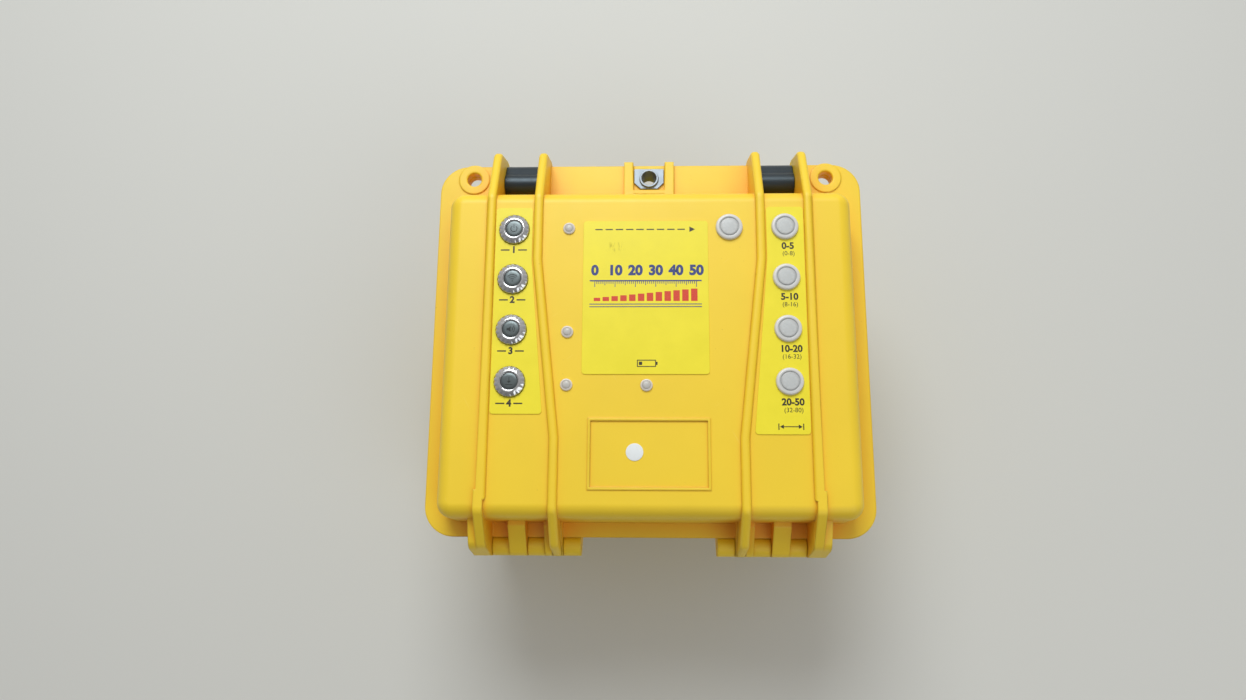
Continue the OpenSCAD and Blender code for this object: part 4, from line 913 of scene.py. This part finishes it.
class DETECTOR_OT_latches(bpy.types.Operator):
    """Both draw latches: arms, levers with ridges, and their pins"""

    bl_idname = "detector.latches"
    bl_label = "Latches"

    def execute(self, context):
        edge = context.scene.detector_fittings.edge
        for side in SIDES:
            soften(f"latch_arm_{side}", edge, f"latch_{side}_arm", 3)
            soften(f"latch_lever_{side}", edge, f"latch_{side}_lever", 3)
            self.ridges(side)
            soften(f"lever_pin_{side}", 0.25 * MM, f"lever_rod_{side}")
        soften("latch_pins", 0.3 * MM, "latch_rods")
        return {"FINISHED"}

    def ridges(self, side):
        """Grip ridges across the lever's outer face, above its bend."""
        low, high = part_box(f"latch_lever_{side}")
        pin_low, pin_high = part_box(f"lever_pin_{side}")
        face = (pin_low.y + pin_high.y) / 2 + 4 * MM
        bm = bmesh.new()
        for row in range(4):
            z = low.z + (12.5 + row * 2.6) * MM
            rise = [(-0.3, 0), (0.35, 0.35), (0.35, 0.85), (-0.3, 1.2)]
            ridge = slab(
                [(face + y * MM, z + up * MM) for y, up in rise], low.x + 2.2 * MM, high.x - 2.2 * MM
            )
            part = bpy.data.meshes.new("ridge")
            ridge.to_mesh(part)
            ridge.free()
            part.transform(ALONG_X)
            bm.from_mesh(part)
            bpy.data.meshes.remove(part)
        put(f"latch_{side}_ridges", bm, f"{side}_lever", "latch_black", edge=0.15 * MM)


class DETECTOR_OT_handle(bpy.types.Operator):
    """Folding handle with its grip rings, and its pins"""

    bl_idname = "detector.handle"
    bl_label = "Handle"

    def execute(self, context):
        soften("carry_handle", context.scene.detector_fittings.edge * 1.6, "handle_bail", 3)
        low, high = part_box("carry_handle")
        z = low.z + 7.5 * MM
        y = high.y - 7.5 * MM
        rings = [(7.45, -36), (7.45, -34.5)]
        for i in range(12):
            start = -33 + i * 5.6
            rings += [(7.45, start), (7.9, start + 0.7), (7.9, start + 3.4), (7.45, start + 4.1)]
        rings += [(7.45, 36), (7.2, 36), (7.2, -36)]
        bm = turn_up(rings, (0, 0, 0), 40, False)
        bmesh.ops.transform(bm, matrix=Matrix.Translation((0, y, z)) @ ALONG_X, verts=bm.verts[:])
        put("handle_grip", bm, "handle", "latch_black", material=finish("seal_rubber"))
        soften("handle_pins", 0.3 * MM, "handle_rods")
        return {"FINISHED"}


class DETECTOR_OT_locks(bpy.types.Operator):
    """Steel plates with collars between the latches"""

    bl_idname = "detector.locks"
    bl_label = "Lock plates"

    def execute(self, context):
        soften("lid_hasp_plate", 0.25 * MM, "lock_plate_lid", 3)
        soften("base_hasp_plate", 0.25 * MM, "lock_plate_base", 3)
        return {"FINISHED"}


class DETECTOR_OT_buttons(bpy.types.Operator):
    """Four push buttons: notched chrome rims, satin caps with etched signs, seals, nuts and switches"""

    bl_idname = "detector.buttons"
    bl_label = "Push buttons"

    def execute(self, context):
        notch = context.scene.detector_panel.notches
        for i in range(1, 5):
            low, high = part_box(f"button_bezel_{i}")
            middle = (low + high) / 2
            seat = high.z - 2.2 * MM
            rim = [(5.12, -20), (7.5, -20)]
            for turn in range(13):
                z = -19.4 + turn * 1.4
                rim += [(7.5, z), (7.9, z + 0.5), (7.9, z + 0.7), (7.5, z + 1.2)]
            rim += [
                (7.5, 0), (9, 0), (9, 0.7), (8.9, 0.95), (8.55, 1.2), (7.3, 1.78), (6.45, 2.12), (6.2, 2.2),
                (5.75, 2.2), (5.6, 2.1), (5.5, 1.7), (5.12, 1.6),
            ]
            bm = turn_up(rim, (middle.x, middle.y, seat), 90, False)
            for vert in bm.verts:
                out = Vector((vert.co.x - middle.x, vert.co.y - middle.y))
                step = round(atan2(out.y, out.x) / (tau / 90)) % 5
                if out.length > 8.2 * MM and vert.co.z > seat + 0.5 * MM and step in (0, 1):
                    pull = notch * 0.5 / out.length
                    vert.co.x -= out.x * pull
                    vert.co.y -= out.y * pull
                    vert.co.z -= notch * (0.6 if step else 1)
            put(
                f"button_rim_{i}", bm, "lid", "bezel_chrome", stands_for=(f"button_bezel_{i}",),
                edge=0.06 * MM,
            )
            face = [(0, -6), (5.05, -6), (5.05, 1.15), (4.9, 1.42), (4.6, 1.55), (3.2, 1.63), (0, 1.66)]
            bm = turn_up(face, (middle.x, middle.y, seat), 64)
            put(f"button_top_{i}", bm, f"button_{i}", "cap_steel", stands_for=(f"button_cap_{i}",))
            self.sign(i, middle, seat + 1.6 * MM, seat + 1.69 * MM)
        keep("button_seals")
        soften("button_nuts", 0.3 * MM, "button_lock_nuts")
        soften("button_switches", 0.3 * MM, "button_switch_bodies")
        return {"FINISHED"}

    def sign(self, number, middle, low, high):
        """Common signs: on and off, reach, sound, store."""
        bm = bmesh.new()
        x, y, w = middle.x, middle.y, 0.42 * MM
        if number == 1:
            arc(bm, x, y, 1.9 * MM, w, 125, 290, low, high)
            bar(bm, x - w / 2, y + 0.5 * MM, x + w / 2, y + 2.7 * MM, low, high)
        elif number == 2:
            bar(bm, x - w / 2, y - 2 * MM, x + w / 2, y - 0.9 * MM, low, high)
            for ring in range(3):
                arc(bm, x, y - 1.6 * MM, (1.5 + ring * 1.2) * MM, w, 45, 90, low, high)
        elif number == 3:
            horn = [(-2.3, -0.7), (-1.3, -0.7), (0, -1.8), (0, 1.8), (-1.3, 0.7), (-2.3, 0.7)]
            slab([(x + across * MM, y + up * MM) for across, up in horn], low, high, bm)
            for ring in range(2):
                arc(bm, x - 0.3 * MM, y, (1.4 + ring * 1.1) * MM, w, -45, 90, low, high)
        else:
            bar(bm, x - w / 2, y, x + w / 2, y + 2.3 * MM, low, high)
            tip = [(-1.2, 0.2), (0, -1.2), (1.2, 0.2)]
            slab([(x + across * MM, y + up * MM) for across, up in tip], low, high, bm)
            bar(bm, x - 2.1 * MM, y - 2.2 * MM, x + 2.1 * MM, y - 2.2 * MM + w, low, high)
        put(f"button_sign_{number}", bm, f"button_{number}", "cap_steel", material=finish("cap_mark"))


class DETECTOR_OT_lamps(bpy.types.Operator):
    """Frosted range and alert lenses, small status lenses, and what lights and holds them"""

    bl_idname = "detector.lamps"
    bl_label = "Lamps"

    def execute(self, context):
        for node in [f"range_lens_{i}" for i in range(1, 5)] + ["alert_lens"]:
            low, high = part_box(node)
            middle = (low + high) / 2
            shape = [
                (3, -3.5), (3, -12), (6.2, -12), (6.2, 0), (8, 0), (8, 0.9), (7.9, 1.35), (7.6, 1.75),
                (7.2, 2.0), (6.6, 2.1), (5.95, 2.1), (5.75, 2.0), (5.7, 1.6), (5.25, 1.6), (5.2, 2.0),
                (5.0, 2.16), (4.2, 2.24), (2.2, 2.32), (0, 2.35),
            ]
            bm = turn_up([(0, -3.5)] + shape, (middle.x, middle.y, high.z - 2.8 * MM), 72)
            put(node + "_dome", bm, "lid", "lens", stands_for=(node,), edge=0.08 * MM)
        for i in range(1, 5):
            low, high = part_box(f"status_lens_{i}")
            middle = (low + high) / 2
            shape = [
                (0, -1.75), (1.8, -1.75), (1.8, -8), (2.6, -8), (2.6, 0), (3.6, 0), (3.6, 0.6), (3.45, 0.95),
                (3.1, 1.2), (2.6, 1.25), (2.45, 1.1), (2.3, 1.2), (2.0, 1.5), (1.2, 1.73), (0, 1.8),
            ]
            bm = turn_up(shape, (middle.x, middle.y, high.z - 1.8 * MM), 48)
            put(
                f"status_dome_{i}", bm, "lid", "lens_clear", stands_for=(f"status_lens_{i}",),
                edge=0.06 * MM,
            )
        soften("lens_nuts", 0.3 * MM, "lens_lock_nuts")
        keep("panel_leds")
        return {"FINISHED"}


class DETECTOR_OT_labels(bpy.types.Operator):
    """Three printed labels: film, plain numbers, a scale with bars, and simple signs"""

    bl_idname = "detector.labels"
    bl_label = "Labels and print"

    def execute(self, context):
        look = context.scene.detector_panel
        for place in ("left", "right", "centre"):
            soften(f"label_{place}", 0.12 * MM, f"label_film_{place}")
        low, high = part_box("label_centre")
        z0, z1 = high.z - 0.02 * MM, high.z + 0.035 * MM
        dark, blue, red = bmesh.new(), bmesh.new(), bmesh.new()
        for i in range(1, 5):
            spot = middle_of(f"button_bezel_{i}")
            digits(dark, str(i), spot.x, spot.y - 12.6 * MM, look.digit, z0, z1, 0.06)
            for side in (-1, 1):
                x = spot.x + side * 5.2 * MM
                bar(dark, x - 2.6 * MM, spot.y - 13 * MM, x + 2.6 * MM, spot.y - 12.2 * MM, z0, z1)
        far = ("0-5", "5-10", "10-20", "20-50")
        farther = ("(0-8)", "(8-16)", "(16-32)", "(32-80)")
        for i in range(1, 5):
            spot = middle_of(f"range_lens_{i}")
            digits(dark, far[i - 1], spot.x + 1.5 * MM, spot.y - 12 * MM, look.digit, z0, z1, 0.05)
            digits(dark, farther[i - 1], spot.x + 1.8 * MM, spot.y - 16.6 * MM, look.digit * 0.68, z0, z1, 0)
        spot = middle_of("range_lens_4")
        self.reach(dark, spot.x, spot.y - 26 * MM, z0, z1)
        self.pointer(dark, low.x + 7 * MM, high.x - 6 * MM, high.y - 5.4 * MM, z0, z1)
        self.scale(blue, red, (low.x + high.x) / 2, high.y, z0, z1)
        lamp = middle_of("status_lens_4")
        self.cell(dark, lamp.x, low.y + 6.4 * MM, z0, z1)
        put("print_dark", dark, "lid", "label", material=ink("ink_dark", tuple(look.dark_ink)))
        put("print_blue", blue, "lid", "label", material=ink("ink_blue", tuple(look.blue_ink)))
        put("print_red", red, "lid", "label", material=ink("ink_red", tuple(look.red_ink)))
        return {"FINISHED"}

    def reach(self, bm, x, y, z0, z1):
        """A distance sign: two posts with an arrow between them."""
        for side in (-1, 1):
            post, tip, wing = (x + side * out * MM for out in (7, 6.4, 4.2))
            bar(bm, post - 0.3 * MM, y - 1.8 * MM, post + 0.3 * MM, y + 1.8 * MM, z0, z1)
            slab([(tip, y), (wing, y + 1.2 * MM), (wing, y - 1.2 * MM)], z0, z1, bm)
        bar(bm, x - 4.2 * MM, y - 0.25 * MM, x + 4.2 * MM, y + 0.25 * MM, z0, z1)

    def pointer(self, bm, x0, x1, y, z0, z1):
        """A row of dashes and an arrow to the lamp at its right."""
        steps = 9
        for i in range(steps):
            x = x0 + (x1 - x0 - 6 * MM) * i / steps
            bar(bm, x, y - 0.35 * MM, x + 4.4 * MM, y + 0.35 * MM, z0, z1)
        slab([(x1 - 5 * MM, y + 1.7 * MM), (x1 - 5 * MM, y - 1.7 * MM), (x1 - 1.6 * MM, y)], z0, z1, bm)

    def scale(self, blue, red, x, top, z0, z1):
        """A plain scale: numbers, ticks and bars that grow."""
        y = top - 31 * MM
        for i in range(6):
            spot = x + (i - 2.5) * 12 * MM
            digits(blue, str(i * 10), spot, y, 6 * MM, z0, z1, 0.07)
        y -= 6.6 * MM
        bar(blue, x - 33 * MM, y, x + 33 * MM, y + 0.8 * MM, z0, z1)
        for i in range(51):
            tall = 3.4 if i % 10 == 0 else (2.4 if i % 5 == 0 else 1.5)
            spot = x + (i - 25) * 1.2 * MM
            bar(blue, spot - 0.2 * MM, y - tall * MM, spot + 0.2 * MM, y, z0, z1)
        y -= 12 * MM
        for i in range(12):
            spot = x + (i - 5.5) * 5.2 * MM
            bar(red, spot - 1.9 * MM, y, spot + 1.9 * MM, y + (2.0 + i * 0.5) * MM, z0, z1)
        for drop in (1.6, 3.2):
            bar(blue, x - 33 * MM, y - drop * MM - 0.5 * MM, x + 33 * MM, y - drop * MM, z0, z1)

    def cell(self, bm, x, y, z0, z1):
        """An almost empty cell over its lamp."""
        w, h, t = 5.5 * MM, 2.1 * MM, 0.5 * MM
        bar(bm, x - w, y + h - t, x + w, y + h, z0, z1)
        bar(bm, x - w, y - h, x + w, y - h + t, z0, z1)
        bar(bm, x - w, y - h + t, x - w + t, y + h - t, z0, z1)
        bar(bm, x + w - t, y - h + t, x + w, y + h - t, z0, z1)
        bar(bm, x + w, y - 0.9 * MM, x + w + 0.9 * MM, y + 0.9 * MM, z0, z1)
        bar(bm, x - w + 1.1 * MM, y - h + 1.1 * MM, x - w + 3 * MM, y + h - 1.1 * MM, z0, z1)


class DETECTOR_OT_vents(bpy.types.Operator):
    """White disc in the recessed field, and the pressure valve on the front wall"""

    bl_idname = "detector.vents"
    bl_label = "Vent disc and valve"

    def execute(self, context):
        low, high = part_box("vent_disc")
        middle = (low + high) / 2
        disc = [(0, 0), (5, 0), (5, 0.22), (4.9, 0.34), (4.7, 0.4), (0, 0.4)]
        bm = turn_up(disc, (middle.x, middle.y, low.z), 64)
        put("vent_membrane", bm, "lid", "vent", stands_for=("vent_disc",))
        soften("pressure_valve", 0.4 * MM, "purge_valve", 3)
        return {"FINISHED"}


class DETECTOR_OT_cover(bpy.types.Operator):
    """Cover that closes the lid from inside, and its screws"""

    bl_idname = "detector.cover"
    bl_label = "Lid cover"

    def execute(self, context):
        soften("lid_cover", 0.4 * MM, "panel_cover")
        soften("cover_screws", 0.35 * MM, "panel_screws", 3)
        return {"FINISHED"}


class DETECTOR_OT_electronics(bpy.types.Operator):
    """Circuit board behind the panel and what stands on it"""

    bl_idname = "detector.electronics"
    bl_label = "Electronics"

    def execute(self, context):
        keep("main_board", "board_standoffs")
        soften("board_chips", 0.2 * MM, "chips_on_board")
        soften("board_capacitors", 0.5 * MM, "capacitors_on_board", 3)
        soften("alarm_horn", 0.5 * MM, "horn_on_board", 3)
        return {"FINISHED"}


class DETECTOR_OT_power(bpy.types.Operator):
    """Battery in its tray under a steel strap"""

    bl_idname = "detector.power"
    bl_label = "Power supply"

    def execute(self, context):
        soften("battery", 0.9 * MM, "battery_block", 3)
        soften("battery_tray", 0.4 * MM, "battery_holder")
        soften("battery_strap", 0.3 * MM, "battery_band")
        soften("strap_screws", 0.3 * MM, "band_screws", 3)
        return {"FINISHED"}


class DETECTOR_OT_aerial(bpy.types.Operator):
    """Ferrite rod aerial with its coil and clips"""

    bl_idname = "detector.aerial"
    bl_label = "Aerial"

    def execute(self, context):
        soften("antenna_rod", 0.5 * MM, "aerial_rod", 3)
        soften("antenna_coil", 0.3 * MM, "aerial_coil")
        soften("antenna_clips", 0.5 * MM, "aerial_clips", 3)
        return {"FINISHED"}


class DETECTOR_OT_lead(bpy.types.Operator):
    """Lead from the battery to the lid; it bends as the lid opens"""

    bl_idname = "detector.lead"
    bl_label = "Panel lead"

    def execute(self, context):
        piece = put(
            "panel_lead_jacket", merged("panel_lead"), "base", "lead", stands_for=("panel_lead",), sharp=60
        )
        low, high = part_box("panel_lead")
        piece.parent = None
        piece.matrix_world = Matrix.Identity(4)
        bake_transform(piece, "base", "lid", start=(high.x, high.y, low.z), end=(low.x, low.y, high.z))
        return {"FINISHED"}


class DETECTOR_OT_stage(bpy.types.Operator):
    """Pale floor, soft light and the camera at the photograph's angle"""

    bl_idname = "detector.stage"
    bl_label = "Stage, light and camera"

    def execute(self, context):
        look = context.scene.detector_stage
        bm = bmesh.new()
        bmesh.ops.create_grid(bm, x_segments=2, y_segments=2, size=20)
        bmesh.ops.translate(bm, verts=bm.verts[:], vec=(0, 0, -0.2 * MM))
        mesh = bpy.data.meshes.new("floor")
        bm.to_mesh(mesh)
        bm.free()
        mesh.materials.append(floor_finish())
        floor = bpy.data.objects.new("floor", mesh)
        context.scene.collection.objects.link(floor)
        self.sky(look.sky)
        self.lamp("key_light", (-0.15, 0.95, 1.25), (0, 0, 0.15), 0.9, look.key)
        self.lamp("fill_light", (0.7, -0.8, 1.1), (0, 0, 0.1), 1.0, look.key * 0.22)
        camera = bpy.data.cameras.new("camera")
        camera.sensor_width = 36
        camera.lens = 870 / 1246 * camera.sensor_width  # 870 px in a photograph 1246 px wide
        camera.clip_start = 0.01
        shown = bpy.data.objects.new("camera", camera)
        shown.location = (0, -0.114, 0.669)
        pitch, roll = Matrix.Rotation(radians(11.75), 3, "X"), Matrix.Rotation(radians(1.71), 3, "Y")
        shown.rotation_euler = (pitch @ roll).to_euler()
        context.scene.collection.objects.link(shown)
        context.scene.camera = shown
        context.scene.view_settings.view_transform = "Standard"
        return {"FINISHED"}

    def sky(self, strength):
        """A pale room, brighter on the side of the latches."""
        world = bpy.data.worlds.new("room")
        bpy.context.scene.world = world
        world.use_nodes = True
        tree = world.node_tree
        tree.nodes.clear()
        out = tree.nodes.new("ShaderNodeOutputWorld")
        back = tree.nodes.new("ShaderNodeBackground")
        place = tree.nodes.new("ShaderNodeTexCoord")
        split = tree.nodes.new("ShaderNodeSeparateXYZ")
        ramp = tree.nodes.new("ShaderNodeMapRange")
        tree.links.new(place.outputs["Generated"], split.inputs[0])
        tree.links.new(split.outputs[1], ramp.inputs[0])
        for socket, value in zip(ramp.inputs[1:5], (-0.9, 0.9, strength * 0.45, strength * 1.5)):
            socket.default_value = value
        back.inputs[0].default_value = (1.0, 0.965, 0.92, 1)
        tree.links.new(ramp.outputs[0], back.inputs[1])
        tree.links.new(back.outputs[0], out.inputs[0])

    def lamp(self, name, place, aim, size, power):
        light = bpy.data.lights.new(name, "AREA")
        light.shape = "DISK"
        light.size = size
        light.energy = power
        light.color = (0.97, 1.0, 1.0)
        shown = bpy.data.objects.new(name, light)
        shown.location = place
        shown.rotation_euler = (Vector(aim) - Vector(place)).to_track_quat("-Z", "Y").to_euler()
        bpy.context.scene.collection.objects.link(shown)


STEPS = (
    DETECTOR_OT_stage, DETECTOR_OT_case, DETECTOR_OT_hinges, DETECTOR_OT_latches, DETECTOR_OT_handle,
    DETECTOR_OT_locks, DETECTOR_OT_buttons, DETECTOR_OT_lamps, DETECTOR_OT_labels, DETECTOR_OT_vents,
    DETECTOR_OT_cover, DETECTOR_OT_electronics, DETECTOR_OT_power, DETECTOR_OT_aerial, DETECTOR_OT_lead,
)


class DETECTOR_PT_pieces(bpy.types.Panel):
    """Lists the sizes, the colours and one button for each piece"""

    bl_label = "Lightning detector"
    bl_idname = "DETECTOR_PT_pieces"
    bl_space_type = "VIEW_3D"
    bl_region_type = "UI"
    bl_category = "Detector"

    def draw(self, context):
        for look in (
            context.scene.detector_case, context.scene.detector_fittings, context.scene.detector_panel,
            context.scene.detector_stage,
        ):
            box = self.layout.box()
            for key in look.__annotations__:
                box.prop(look, key)
        column = self.layout.column(align=True)
        for step in STEPS:
            column.operator(step.bl_idname)


LOOKS = {
    "detector_case": CaseLook,
    "detector_fittings": FittingLook,
    "detector_panel": PanelLook,
    "detector_stage": StageLook,
}


def register():
    for name, look in LOOKS.items():
        bpy.utils.register_class(look)
        setattr(bpy.types.Scene, name, PointerProperty(type=look))
    for kind in STEPS + (DETECTOR_PT_pieces,):
        bpy.utils.register_class(kind)


def unregister():
    for kind in reversed(STEPS + (DETECTOR_PT_pieces,)):
        bpy.utils.unregister_class(kind)
    for name, look in reversed(LOOKS.items()):
        delattr(bpy.types.Scene, name)
        bpy.utils.unregister_class(look)


def main():
    register()
    for step in STEPS:
        group, name = step.bl_idname.split(".")
        getattr(getattr(bpy.ops, group), name)()


if __name__ == "__main__":
    main()
